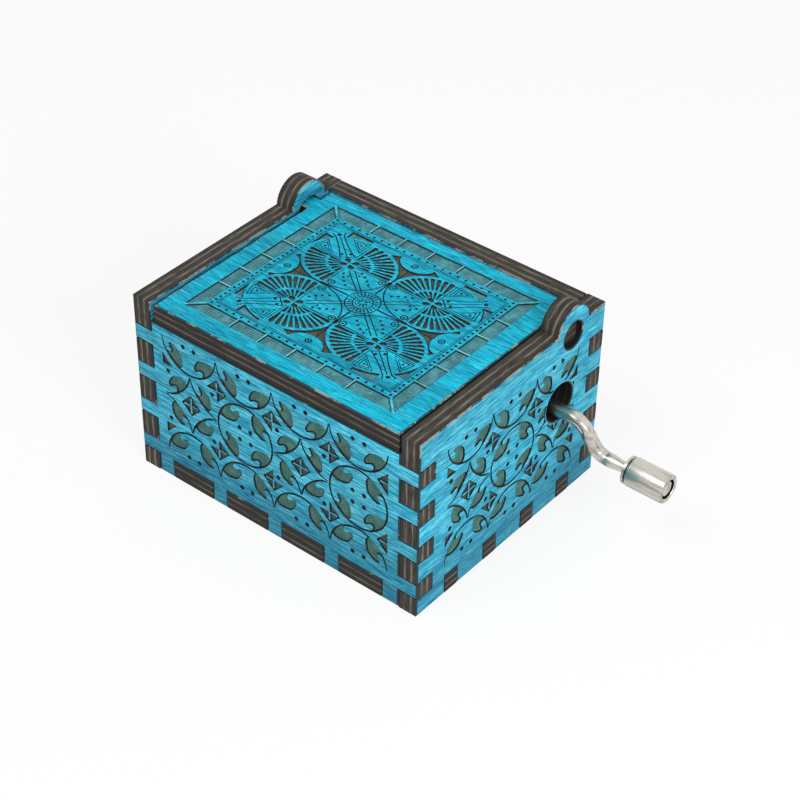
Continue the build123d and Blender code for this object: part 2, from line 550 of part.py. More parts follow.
def crank_rod():
    """The shaft, the S-bent arm and the smaller end that the knob turns on, with its riveted head."""
    end_z = CRANK_Z - CRANK_THROW
    corners = [(SHAFT_LEFT, CRANK_Y, CRANK_Z), (BEND_X, CRANK_Y, CRANK_Z),
               (ARM_END_X, CRANK_Y, end_z), (SHOULDER_X, CRANK_Y, end_z)]
    path = FilletPolyline(*corners, radius=BEND_RADIUS)
    section = Plane(origin=corners[0], z_dir=(1, 0, 0)) * Circle(ROD_RADIUS)
    rod = sweep(section, path)
    rod += rod_along("X", (SHOULDER_X, CRANK_Y, end_z), RIVET_X, ROD_END_RADIUS)
    rod += rod_along("X", (RIVET_X, CRANK_Y, end_z), RIVET_X + RIVET_THICKNESS, RIVET_RADIUS)
    return tilted(rod)


def shaft_clip():
    """The ring that keeps the shaft from being pulled out of its bushes."""
    return ring("X", (CLIP_X, CRANK_Y, CRANK_Z), CLIP_X + CLIP_THICKNESS, CLIP_RADIUS, ROD_RADIUS + SEAT_FIT)


def knob_washer():
    """The thin ring on the rod that the knob runs against."""
    washer = ring("X", (WASHER_X, CRANK_Y, CRANK_Z - CRANK_THROW), WASHER_X + WASHER_THICKNESS,
                  WASHER_RADIUS, ROD_END_RADIUS + SEAT_FIT)
    return tilted(washer)


def crank_knob():
    """The turned handle: a tube with a wider mouth for the rod's riveted head."""
    axis_z = CRANK_Z - CRANK_THROW
    end = KNOB_X + KNOB_LENGTH
    knob = rod_along("X", (KNOB_X, CRANK_Y, axis_z), end, KNOB_RADIUS)
    knob = chamfer(knob.edges().filter_by(GeomType.CIRCLE), KNOB_EDGE)
    knob -= rod_along("X", (KNOB_X - CUT, CRANK_Y, axis_z), end + CUT, ROD_END_RADIUS + KNOB_PLAY)
    knob -= rod_along("X", (end - KNOB_MOUTH_DEPTH, CRANK_Y, axis_z), end + CUT, KNOB_MOUTH_RADIUS)
    return tilted(knob)


# ---------------------------------------------------------------- the assembly
NODES = {
    "bottom_panel": bottom_panel(),
    "front_panel": end_panel(FRONT_FACE, -INNER_Y, FRONT_HEIGHT),
    "back_panel": end_panel(BACK_FACE, INNER_Y, WALL_HEIGHT),
    "left_panel": side_panel(-RIGHT_FACE, -INNER_X),
    "right_panel": right_panel(),
    "lid_panel": lid_panel(),
    "bedplate": bedplate(),
    "comb_shoe": comb_shoe(),
    "comb": comb(),
    "comb_weights": comb_weights(),
    "comb_screws": comb_screws(),
    "bracket_screws": bracket_screws(),
    "base_screws": base_screws(),
    "front_bracket": front_bracket(),
    "worm_bracket": worm_bracket(),
    "left_crank_bush": crank_bush(-1),
    "right_crank_bush": crank_bush(1),
    "drum": drum(),
    "drum_front_cap": drum_cap(DRUM_FRONT, DRUM_FRONT + CAP_THICKNESS),
    "drum_rear_cap": drum_cap(DRUM_REAR - CAP_THICKNESS, DRUM_REAR),
    "drum_arbor": drum_arbor(),
    "worm_wheel": worm_wheel(),
    "worm": worm(),
    "crank_rod": crank_rod(),
    "shaft_clip": shaft_clip(),
    "knob_washer": knob_washer(),
    "crank_knob": crank_knob(),
}

os.makedirs("parts", exist_ok=True)
for node, shape in NODES.items():
    export_step(shape, f"parts/{node}.step")
print(f"hinge axis y {HINGE_Y:.3f} z {HINGE_Z:.3f}; drum axis x {DRUM_X:.3f} z {DRUM_Z:.3f}")
print(f"crank axis y {CRANK_Y:.3f} z {CRANK_Z:.3f}; knob axis y {KNOB_Y:.3f} z {KNOB_Z:.3f}")
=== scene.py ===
"""Looks of a hand-crank music box: laser-cut turquoise plywood, engraved scrolls and a nickel crank.

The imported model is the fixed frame. Each plywood panel is rebuilt from its own outline, with a worn rim and
the engraving sunk into its face, and the crank is swept again with its pressed bends.
"""
import logging
import math
from dataclasses import dataclass, field
from enum import Enum
from typing import Callable, Iterable, Optional, Sequence

import bpy
import numpy as np
from mathutils import Matrix, Vector
from mathutils.geometry import delaunay_2d_cdt

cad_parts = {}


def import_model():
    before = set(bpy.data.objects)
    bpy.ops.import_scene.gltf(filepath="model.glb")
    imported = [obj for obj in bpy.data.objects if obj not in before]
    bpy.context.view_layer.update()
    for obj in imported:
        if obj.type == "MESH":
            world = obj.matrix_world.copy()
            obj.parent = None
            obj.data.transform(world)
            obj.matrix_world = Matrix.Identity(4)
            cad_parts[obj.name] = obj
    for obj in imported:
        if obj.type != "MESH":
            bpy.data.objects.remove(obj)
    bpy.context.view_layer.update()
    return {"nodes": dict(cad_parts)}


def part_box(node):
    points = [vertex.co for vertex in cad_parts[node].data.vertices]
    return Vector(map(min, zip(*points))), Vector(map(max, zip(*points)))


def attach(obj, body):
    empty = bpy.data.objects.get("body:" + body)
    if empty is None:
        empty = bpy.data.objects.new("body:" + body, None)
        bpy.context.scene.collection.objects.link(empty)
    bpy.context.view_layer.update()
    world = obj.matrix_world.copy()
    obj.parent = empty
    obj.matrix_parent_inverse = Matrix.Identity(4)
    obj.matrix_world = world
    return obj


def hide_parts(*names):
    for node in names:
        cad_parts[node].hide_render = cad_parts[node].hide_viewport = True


LOG = logging.getLogger("music_box")
MM = 0.001
WELD = 1e-4                 # points nearer than this many millimetres are one
CDT_WELD = 1e-5             # the same for the points of a triangulation
MITRE_LIMIT = 0.45          # keeps the mitre of a sharp corner short
FLIPS = ((1, 1), (-1, 1), (-1, -1), (1, -1))    # quarters, anticlockwise from the upper right
WHITE = (1.0, 1.0, 1.0)
Array = np.ndarray
Triple = tuple[float, float, float]
Material = bpy.types.Material
NodeTree = bpy.types.NodeTree
join = np.concatenate


def srgb(red: int, green: int, blue: int) -> Triple:
    """Turns a screen colour from 0 to 255 into the linear colour that a shader takes."""
    parts = np.array([red, green, blue]) / 255
    return tuple(np.where(parts <= 0.04045, parts / 12.92, ((parts + 0.055) / 1.055) ** 2.4).tolist())


class Slot(Enum):
    """Names of material slots; a panel keeps one, but no finish is taken from it."""

    WALL = "painted_ply"
    LID = "lid_ply"
    NICKEL = "nickel_plate"


class Level(Enum):
    """How deep the laser went, in millimetres, and the place of its finish in a panel's material list."""

    FACE = (0.0, 0)
    FILL = (0.24, 3)
    BURN = (0.36, 4)
    SCORCH = (0.3, 5)
    PALE = (0.02, 6)

    def __init__(self, depth: float, finish: int) -> None:
        """Names the two values."""
        self.depth, self.finish = depth, finish


EDGE_FINISH = 1
RIM_FINISH = 2


class Grain(Enum):
    """Which way the face veneer runs, as a turn about Z in radians."""

    ALONG_X = 0.0
    ALONG_Y = math.pi / 2


# ---------------------------------------------------------------- shader graphs
class Graph:
    """A node tree under construction, with short calls for nodes and links."""

    def __init__(self, tree: NodeTree) -> None:
        """Takes over a tree and empties it."""
        self.tree = tree
        tree.nodes.clear()

    def node(self, kind: str, inputs: Optional[dict] = None, **settings: object) -> Sequence:
        """Adds a node.

        Args:
            kind: the node's Blender type.
            inputs: what goes into its sockets, by name or number: another node's output or a plain value.
            settings: its own properties.

        Returns:
            Its outputs.
        """
        made = self.tree.nodes.new(kind)
        for name, value in settings.items():
            setattr(made, name, value)
        for key, value in (inputs or {}).items():
            socket = made.inputs[key]
            if isinstance(value, bpy.types.NodeSocket):
                self.tree.links.new(value, socket)
            else:
                socket.default_value = (*value, 1.0) if socket.type == "RGBA" else value
        return made.outputs

    def math(self, operation: str, first: object, second: object = 0.0, clamp: bool = False) -> object:
        """Adds a Math node and returns its value."""
        return self.node("ShaderNodeMath", {0: first, 1: second}, operation=operation, use_clamp=clamp)[0]

    def times(self, first: object, second: object, clamp: bool = False) -> object:
        """The product of two values."""
        return self.math("MULTIPLY", first, second, clamp)

    def plus(self, first: object, second: object, clamp: bool = False) -> object:
        """The sum of two values."""
        return self.math("ADD", first, second, clamp)

    def less(self, first: object, second: object) -> object:
        """The first value less the second."""
        return self.math("SUBTRACT", first, second)

    def layers(self, color: object, *layers: tuple[object, float, object], blend: str = "MIX") -> object:
        """Lays colours over a colour, each as (mask, amount, colour), and returns the result."""
        for mask, amount, over in layers:
            color = self.node("ShaderNodeMix", {0: self.times(mask, amount), 6: color, 7: over},
                              data_type="RGBA", blend_type=blend)[2]
        return color

    def mix_shaders(self, share: object, first: Sequence, second: Sequence) -> Sequence:
        """Mixes the shaders of two nodes by a share."""
        return self.node("ShaderNodeMixShader", {0: share, 1: first[0], 2: second[0]})

    def noise(self, vector: object, scale: float = 1.0, detail: float = 4.0, rough: float = 0.55) -> object:
        """Adds a noise texture and returns its value."""
        return self.node("ShaderNodeTexNoise", {"Vector": vector, "Scale": scale, "Detail": detail,
                                                "Roughness": rough})[0]

    def window(self, value: object, low: float, high: float) -> object:
        """Maps a value from a narrow window to 0..1 with soft ends."""
        return self.node("ShaderNodeMapRange", {0: value, 1: low, 2: high}, interpolation_type="SMOOTHSTEP")[0]

    def place(self) -> object:
        """The object's own coordinates."""
        return self.node("ShaderNodeTexCoord")["Object"]

    def coordinate(self, axis: int) -> object:
        """One of the object's own coordinates."""
        return self.node("ShaderNodeSeparateXYZ", {0: self.place()})[axis]

    def stretched(self, scale: float | Triple, spin: float = 0.0) -> object:
        """The object's own coordinates, turned about Z and stretched by one factor or three."""
        turned = self.node("ShaderNodeMapping", {"Vector": self.place(), "Rotation": (0, 0, spin)})[0]
        return self.node("ShaderNodeMapping", {"Vector": turned, "Scale": np.broadcast_to(scale, 3).tolist()})[0]

    def effect(self, tree: NodeTree, scale: float | Triple, spin: float = 0.0,
               **inputs: object) -> Sequence:
        """Places a shared node group on stretched coordinates and returns its outputs."""
        return self.node("ShaderNodeGroup", {"Vector": self.stretched(scale, spin), **inputs}, node_tree=tree)

    def shade(self, color: object, rough: object, height: object, strength: float, reach: float,
              **sockets: float) -> None:
        """Closes a material with a Principled shader and a bump.

        Args:
            color: the base colour.
            rough: the roughness.
            height: the bump's height.
            strength: the bump's strength.
            reach: the bump's distance in metres.
            sockets: plain values for the shader's other sockets, with _ for a space.
        """
        bump = self.node("ShaderNodeBump", {"Height": height, "Strength": strength, "Distance": reach})[0]
        plain = {name.replace("_", " "): value for name, value in sockets.items()}
        shader = self.node("ShaderNodeBsdfPrincipled", {"Base Color": color, "Roughness": rough, "Normal": bump,
                                                        **plain})
        self.node("ShaderNodeOutputMaterial", {0: shader[0]})


def group(name: str, fill: Callable[[Graph, Sequence], dict], *numbers: str) -> NodeTree:
    """Builds a shader node group with a Vector input.

    Args:
        name: the group's name.
        fill: makes the nodes from the graph and the inputs, and gives the outputs, all plain values, by name.
        numbers: the names of more inputs, all plain values.

    Returns:
        The group's tree.
    """
    tree = bpy.data.node_groups.new(name, "ShaderNodeTree")
    tree.interface.new_socket(name="Vector", in_out="INPUT", socket_type="NodeSocketVector")
    for number in numbers:
        tree.interface.new_socket(name=number, in_out="INPUT", socket_type="NodeSocketFloat")
    graph = Graph(tree)
    made = fill(graph, graph.node("NodeGroupInput"))
    for output in made:
        tree.interface.new_socket(name=output, in_out="OUTPUT", socket_type="NodeSocketFloat")
    graph.node("NodeGroupOutput", made)
    return tree


class Effects:
    """The node groups that several finishes share."""

    def __init__(self) -> None:
        """Builds each group once."""
        self.grain = group("wood_grain", self._grain)
        self.plies = group("ply_layers", self._plies, "Across")
        self.hatch = group("laser_hatch", self._hatch)
        self.scratch = group("fine_scratches", self._scratch)
        self.dust = group("dust_specks", self._dust, "Amount")

    @staticmethod
    def _grain(graph: Graph, given: Sequence) -> dict:
        """Long streaks, short dark pores, rare bare flecks and slow clouds: noise stretched along the grain."""
        vector = given["Vector"]
        broad, fine = graph.noise(vector, 0.5, 3.0, 0.65), graph.noise(vector, 1.5, 3.0, 0.6)
        streak = graph.window(graph.plus(graph.times(broad, 0.4), graph.times(fine, 0.6)), 0.43, 0.58)
        pore = graph.window(graph.noise(vector, 2.1, 2.0), 0.5, 0.64)
        return {"Streak": streak, "Pore": pore, "Cloud": graph.noise(vector, 0.09, 2.0),
                "Fleck": graph.window(graph.noise(vector, 1.2, 3.0, 0.7), 0.62, 0.72),
                "Height": graph.less(graph.times(streak, 0.6), pore)}

    @staticmethod
    def _plies(graph: Graph, given: Sequence) -> dict:
        """Two soft pale bands between three burnt plies, and charred outer plies: distances across the sheet."""
        wobble = graph.times(graph.less(graph.noise(given["Vector"], 0.25, 2.0), 0.5), 0.1)
        off_middle = graph.math("ABSOLUTE", graph.less(graph.plus(given["Across"], wobble), 0.5))
        off_line = graph.math("ABSOLUTE", graph.less(off_middle, 0.18))
        line = graph.less(1.0, graph.window(off_line, 0.0, 0.095))
        broken = graph.window(graph.noise(given["Vector"], 0.5, 4.0, 0.7), 0.3, 0.62)
        char = graph.noise(given["Vector"], 1.0, 5.0, 0.7)
        return {"Glue": graph.times(line, broken), "Char": char, "Outer": graph.window(off_middle, 0.3, 0.46),
                "Height": graph.plus(graph.times(line, 0.7), char)}

    @staticmethod
    def _hatch(graph: Graph, given: Sequence) -> dict:
        """The laser's close parallel passes: a fine wave, broken up by noise."""
        wave = graph.node("ShaderNodeTexWave", {"Vector": given["Vector"], "Scale": 1.0, "Distortion": 0.6,
                                                "Detail": 1.0, "Detail Scale": 2.0},
                          wave_type="BANDS", bands_direction="X")["Fac"]
        line = graph.times(wave, graph.window(graph.noise(given["Vector"], 0.7, 3.0), 0.3, 0.6), clamp=True)
        return {"Line": line, "Height": line}

    @staticmethod
    def _scratch(graph: Graph, given: Sequence) -> dict:
        """Hair-fine polishing marks and a few wider ones."""
        fine = graph.noise(given["Vector"], 1.0, 4.0, 0.7)
        wide = graph.window(graph.noise(given["Vector"], 0.23, 2.0), 0.6, 0.7)
        return {"Mask": graph.times(fine, graph.plus(0.6, wide), clamp=True), "Height": fine}

    @staticmethod
    def _dust(graph: Graph, given: Sequence) -> dict:
        """Scattered pale specks: the middles of small cells, thinned out by noise."""
        cell = graph.node("ShaderNodeTexVoronoi", {"Vector": given["Vector"], "Scale": 1.0})[0]
        speck = graph.less(1.0, graph.window(cell, 0.05, 0.14))
        some = graph.window(graph.noise(given["Vector"], 0.31, 2.0), 0.55, 0.62)
        return {"Mask": graph.times(graph.times(speck, some), given["Amount"])}


# ---------------------------------------------------------------- finishes
@dataclass(frozen=True)
class Finish:
    """A surface finish. Each kind of finish paints its own nodes."""

    name: str

    def paint(self, graph: Graph, effects: Effects) -> None:
        """Adds the finish's nodes."""
        raise NotImplementedError

    def material(self, effects: Effects) -> Material:
        """Builds the finish.

        Args:
            effects: the shared node groups.

        Returns:
            The material.
        """
        made = bpy.data.materials.new(self.name)
        made.use_nodes = True
        self.paint(Graph(made.node_tree), effects)
        return made


@dataclass(frozen=True)
class StainedFace(Finish):
    """Turquoise stain on the face veneer, with streaks, pores and a few white specks, and painted shade that darkens
    it towards the foot.
    """

    color: Triple
    pale: Triple
    # dark colour of the pores, also used for the painted shade at the foot
    deep: Triple
    grain: Grain
    stretch: Triple = (170.0, 3600.0, 3600.0)
    foot: float = 0.018
    # share of painted shade at the foot
    foot_shade: float = 0.5

    def paint(self, graph: Graph, effects: Effects) -> None:
        """Lays the grain, the painted shade near the foot, clouds, flecks and dust over the stain."""
        grain = graph.effect(effects.grain, self.stretch, self.grain.value)
        # painted shade: the stain darkens towards the bottom of the box
        foot = graph.window(graph.coordinate(2), self.foot, 0.0)
        dust = graph.effect(effects.dust, 1300, Amount=0.5)["Mask"]
        color = graph.layers(self.color, (grain["Streak"], 0.85, self.pale), (grain["Pore"], 0.8, self.deep),
                             (foot, self.foot_shade, self.deep))
        color = graph.layers(color, (1.0, 1.0, graph.plus(grain["Cloud"], 0.5)), blend="MULTIPLY")
        color = graph.layers(color, (grain["Fleck"], 0.5, srgb(190, 226, 226)), (dust, 1.0, srgb(205, 228, 228)))
        rough = graph.plus(0.55, graph.times(grain["Pore"], 0.2))
        graph.shade(color, rough, grain["Height"], 0.4, 0.00006, Specular_IOR_Level=0.15)


@dataclass(frozen=True)
class BurntEdge(Finish):
    """The laser-cut edge of a plywood sheet: charred plies with two pale glue lines.

    It lies between low and high along its axis. A bore is (y, z, radius) in metres, and painted shade darkens its
    wall near black.
    """

    axis: int
    low: float
    high: float
    soot: float
    bores: tuple[Triple, ...] = ()
    char: Triple = srgb(30, 28, 26)
    brown: Triple = srgb(82, 76, 69)
    glue: Triple = srgb(152, 142, 124)

    def paint(self, graph: Graph, effects: Effects) -> None:
        """Lays soot, glue lines and the bores' painted shade over the plies."""
        scale = [420.0, 420.0, 420.0]
        scale[self.axis] = 3400.0
        across = graph.math("DIVIDE", graph.less(graph.coordinate(self.axis), self.low), self.high - self.low)
        plies = graph.effect(effects.plies, scale, Across=across)
        cloud = graph.window(graph.noise(graph.stretched(160), detail=3.0), 0.3, 0.7)
        smoke = graph.times(graph.plus(graph.times(cloud, 0.5), 0.5), 2 * self.soot, clamp=True)
        color = graph.layers(self.char, (graph.window(plies["Char"], 0.36, 0.62), 1.0, self.brown),
                             (plies["Outer"], 0.75, self.char), (smoke, 1.0, self.char),
                             (plies["Glue"], 0.7 - 0.4 * self.soot, self.glue))
        flat = graph.node("ShaderNodeVectorMath", {0: graph.place(), 1: (0, 1, 1)}, operation="MULTIPLY")[0]
        for y, z, radius in self.bores:
            away = graph.node("ShaderNodeVectorMath", {0: flat, 1: (0, y, z)}, operation="DISTANCE")["Value"]
            # painted shade: each bore's wall is darkened near black, as a shaded hole
            color = graph.layers(color, (graph.window(away, radius * 1.12, radius * 1.04), 0.9, srgb(12, 12, 12)))
        graph.shade(color, 0.72, plies["Height"], 0.5, 0.00008, Specular_IOR_Level=0.3)


@dataclass(frozen=True)
class RimCharWearAndPaintedLight(Finish):
    """The thin rim of a panel: scorched near black, partly as painted shade of the gaps at the finger joints, and
    rubbed pale along the top, partly to bare wood and partly as a painted highlight.
    """

    stain: Triple
    # heights in metres over which the rim gets more rub and painted highlight
    rub_and_highlight_heights: tuple[float, float]
    char: Triple = srgb(24, 25, 24)
    # bare wood colour, also used as a painted highlight along the top edges
    bare: Triple = srgb(172, 166, 144)

    def paint(self, graph: Graph, effects: Effects) -> None:
        """Scorches the stain in most places, also as painted shade, and makes it pale in some, as wear and as a
        painted highlight.
        """
        # painted shade: the near-black scorch also stands in for the shade in the gaps at the finger joints
        scorched = graph.window(graph.noise(graph.stretched(300), rough=0.6), 0.2, 0.36)
        # painted highlight: the pale rub is stronger towards the top edges, partly wear and partly light catching them
        high = graph.times(graph.window(graph.coordinate(2), *self.rub_and_highlight_heights), 0.13)
        rub_and_highlight_noise = graph.noise(graph.stretched((260, 260, 420)), detail=5.0, rough=0.75)
        rubbed = graph.window(graph.plus(rub_and_highlight_noise, high), 0.58, 0.68)
        color = graph.layers(self.stain, (scorched, 0.9, self.char), (rubbed, 0.62, self.bare))
        height = graph.effect(effects.grain, 800)["Height"]
        graph.shade(color, 0.6, height, 0.2, 0.00004, Specular_IOR_Level=0.3)


@dataclass(frozen=True)
class EngravedFloor(Finish):
    """The grey-green floor that the laser leaves where it fills a shape with close passes."""

    color: Triple
    dark: Triple
    turn: float = 0.0
    passes: float = 800.0

    def paint(self, graph: Graph, effects: Effects) -> None:
        """Hatches the floor and chars it in places."""
        hatch = graph.effect(effects.hatch, self.passes, self.turn)
        char = graph.window(graph.noise(graph.stretched(1400)), 0.35, 0.7)
        color = graph.layers(self.color, (hatch["Line"], 0.9, self.dark), (char, 0.4, self.dark))
        graph.shade(color, 0.75, hatch["Height"], 0.5, 0.00006, Specular_IOR_Level=0.25)


@dataclass(frozen=True)
class BurntLine(Finish):
    """The black-brown char of an engraved line, and of a pocket's outline, where it is partly painted shade."""

    color: Triple = srgb(34, 34, 32)
    ash: Triple = srgb(72, 74, 68)

    def paint(self, graph: Graph, effects: Effects) -> None:
        """Lays ash over the char, in patches and specks."""
        char = graph.noise(graph.stretched(1800))
        dust = graph.effect(effects.dust, 3000, Amount=0.8)["Mask"]
        color = graph.layers(self.color, (graph.window(char, 0.4, 0.75), 1.0, self.ash), (dust, 1.0, self.ash))
        graph.shade(color, 0.8, char, 0.4, 0.00005, Specular_IOR_Level=0.2)


@dataclass(frozen=True)
class Metal(Finish):
    """A bare or plated metal with fine marks, patches of duller metal, which on the nickel are partly painted dark
    reflection, and a little dust.
    """

    color: Triple
    dull_and_dark_reflection: Triple
    roughness: float
    marks: Triple = (400.0, 3200.0, 3200.0)
    bump: float = 0.08
    dust: float = 0.15
    dull_and_reflection_stretch: float | Triple = 240.0
    # share of the duller patches, which on the nickel are partly painted dark reflection
    patches: float = 0.5

    def paint(self, graph: Graph, effects: Effects) -> None:
        """Lays duller patches, on the nickel partly painted dark reflection, then dust and scratches over the metal.
        """
        scratch = graph.effect(effects.scratch, self.marks)
        # duller patches: real dullness, and on the nickel, stretched along the rod and knob, painted dark reflection
        dull_and_reflection_mask = graph.window(graph.noise(graph.stretched(self.dull_and_reflection_stretch), detail=3.0), 0.42, 0.68)
        dust = graph.effect(effects.dust, 1500, Amount=self.dust)["Mask"]
        color = graph.layers(self.color, (dull_and_reflection_mask, self.patches, self.dull_and_dark_reflection), (dust, 1.0, srgb(190, 186, 176)))
        rough = graph.plus(self.roughness, graph.times(scratch["Mask"], 0.16))
        rough = graph.plus(rough, graph.times(dust, 0.4), clamp=True)
        graph.shade(color, rough, scratch["Height"], self.bump, 0.00002, Metallic=1.0)


def seen(graph: Graph) -> object:
    """1 for rays from the camera and for what metal mirrors, and 0 for rays that light the object."""
    path = graph.node("ShaderNodeLightPath")
    both = graph.math("MAXIMUM", path["Is Camera Ray"], path["Is Glossy Ray"])
    return graph.math("MAXIMUM", both, path["Is Transmission Ray"])


@dataclass(frozen=True)
class PaleFloor(Finish):
    """Pale paper that keeps a soft shadow, and is clear when seen from below."""

    glow: float = 0.84

    def paint(self, graph: Graph, effects: Effects) -> None:
        """Mixes paper with its own light, and clears its back."""
        paper = graph.node("ShaderNodeBsdfDiffuse", {0: (0.86, 0.86, 0.86)})
        lit = graph.node("ShaderNodeEmission", {0: WHITE, 1: 1.0})
        mixed = graph.mix_shaders(graph.times(seen(graph), self.glow), paper, lit)
        below = graph.node("ShaderNodeNewGeometry")["Backfacing"]
        sided = graph.mix_shaders(below, mixed, graph.node("ShaderNodeBsdfTransparent"))
        graph.node("ShaderNodeOutputMaterial", {0: sided[0]})


# ---------------------------------------------------------------- meshes
def weld(corners: Array) -> tuple[Array, Array]:
    """Joins the near corners of triangles.

    Args:
        corners: (3n, k) corners in millimetres.

    Returns:
        The points that are left, and (n, 3) indices of each triangle's points.
    """
    _, first, index = np.unique(np.round(corners / WELD).astype(np.int64), axis=0, return_index=True,
                                return_inverse=True)
    return corners[first], index.reshape(-1, 3)


def build_mesh(name: str, triangles: Array, finishes: Array, materials: Iterable[Material],
               sharp: float = 0.5) -> bpy.types.Object:
    """Welds loose triangles into one mesh and smooths it up to an angle.

    Args:
        name: the piece's name.
        triangles: (n, 3, 3) corners in millimetres.
        finishes: (n,) material index of each triangle.
        materials: the piece's materials.
        sharp: the angle in radians over which an edge stays sharp.

    Returns:
        The object, with its place in its mesh.
    """
    points, faces = weld(triangles.reshape(-1, 3))
    whole = (faces != np.roll(faces, 1, 1)).all(1)
    mesh = bpy.data.meshes.new(name)
    mesh.from_pydata((points * MM).tolist(), [], faces[whole].tolist())
    for material in materials:
        mesh.materials.append(material)
    mesh.polygons.foreach_set("material_index", np.asarray(finishes[whole], np.int32))
    mesh.polygons.foreach_set("use_smooth", np.ones(len(mesh.polygons), bool))
    mesh.set_sharp_from_angle(angle=sharp)
    mesh.update()
    return link(bpy.data.objects.new(name, mesh))


def link(made: bpy.types.Object) -> bpy.types.Object:
    """Puts an object into the scene and returns it."""
    bpy.context.scene.collection.objects.link(made)
    return made


def dress(piece: bpy.types.Object, node: str, body: str) -> None:
    """Says which node a piece replaces and which body it rides on."""
    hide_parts(node)
    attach(piece, body)
    LOG.info("%s: %d triangles", piece.name, len(piece.data.polygons))


def node_triangles(node: str) -> Array:
    """The triangles of a CAD node: (n, 3, 3) corners in millimetres."""
    mesh = bpy.data.objects[node].data
    mesh.calc_loop_triangles()
    points = np.empty(len(mesh.vertices) * 3)
    mesh.vertices.foreach_get("co", points)
    index = np.empty(len(mesh.loop_triangles) * 3, np.int32)
    mesh.loop_triangles.foreach_get("vertices", index)
    return points.reshape(-1, 3)[index].reshape(-1, 3, 3) / MM


def box(node: str) -> tuple[Array, Array, Array]:
    """A CAD node's low corner, middle and high corner in millimetres."""
    low, high = (np.array(corner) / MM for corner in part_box(node))
    return low, (low + high) / 2, high


def quads(a: Array, b: Array, c: Array, d: Array) -> Array:
    """The triangles of quads whose corners are (..., 3) arrays."""
    return join([np.stack([a, b, c], -2), np.stack([a, c, d], -2)]).reshape(-1, 3, 3)


def surface(grid: Array) -> Array:
    """Splits a tube into triangles.

    Args:
        grid: (u, v, 3) points, closed in v; u x v turns anticlockwise seen from outside.

    Returns:
        (n, 3, 3) triangles.
    """
    full = join([grid, grid[:, :1]], 1)
    return quads(full[:-1, :-1], full[1:, :-1], full[1:, 1:], full[:-1, 1:])


# ---------------------------------------------------------------- flat outlines
def polar(turn: Array, reach: Array) -> Array:
    """Points from their angles in degrees and their reaches."""
    turn, reach = np.broadcast_arrays(np.radians(turn), reach)
    return np.stack([reach * np.cos(turn), reach * np.sin(turn)], -1)


def arc(centre: Sequence[float], radii: float | Sequence[float], start: float, end: float,
        step: float = 6.0) -> Array:
    """Points along an ellipse's arc: centre + (rx cos t, ry sin t).

    Args:
        centre: its middle.
        radii: (rx, ry), or one radius.
        start: the first angle in degrees.
        end: the last angle in degrees.
        step: about how many degrees lie between points.

    Returns:
        (n, 2) points.
    """
    count = max(3, int(abs(end - start) / step) + 1)
    return np.asarray(centre) + polar(np.linspace(start, end, count), 1.0) * radii


def left_of(edges: Array) -> Array:
    """The unit normals to the left of edges."""
    lengths = np.maximum(np.linalg.norm(edges, axis=1, keepdims=True), 1e-9)
    return np.stack([-edges[:, 1], edges[:, 0]], -1) / lengths


def offset(points: Array, distance: float, after: Optional[Array] = None) -> Array:
    """Moves closed loops to their left: p + d (m + n) / (1 + m.n), for the normals m, n of p's two edges.

    Args:
        points: (n, 2) points; the inside of an anticlockwise loop is to its left.
        distance: how far, in millimetres.
        after: the index of the point that follows each one, where there is more than one loop.

    Returns:
        The moved points.
    """
    after = np.roll(np.arange(len(points)), -1) if after is None else after
    left = left_of(points[after] - points)
    came = np.empty_like(left)
    came[after] = left
    stretch = np.maximum(1 + (left * came).sum(1, keepdims=True), MITRE_LIMIT)
    return points + distance * (left + came) / stretch


def outline(flat: Array) -> tuple[Array, Array]:
    """The free edges of a flat set of triangles: the edges whose other way round no triangle has.

    Args:
        flat: (n, 3, 2) anticlockwise triangles.

    Returns:
        The points, and the index of the point that follows each one.
    """
    points, faces = weld(flat.reshape(-1, 2))
    edges = join([faces[:, [0, 1]], faces[:, [1, 2]], faces[:, [2, 0]]])
    size = len(points)
    free = edges[~np.isin(edges @ (size, 1), edges @ (1, size))]
    used = np.sort(free[:, 0])
    after = np.empty(len(used), int)
    after[np.searchsorted(used, free[:, 0])] = np.searchsorted(used, free[:, 1])
    return points[used], after


def inside(points: Array, starts: Array, ends: Array) -> Array:
    """Even-odd test: counts the outline's edges that a ray from each point towards +x crosses.

    Args:
        points: (n, 2) points.
        starts: (m, 2) first ends of the edges.
        ends: (m, 2) last ends of the edges.

    Returns:
        (n,) True where a point is inside.
    """
    x, y = points[:, :1], points[:, 1:]
    (x0, y0), (x1, y1) = starts.T, ends.T
    with np.errstate(divide="ignore", invalid="ignore"):
        crossing = x0 + (y - y0) * (x1 - x0) / (y1 - y0)
    return (((y0 > y) != (y1 > y)) & (crossing > x)).sum(1) % 2 == 1


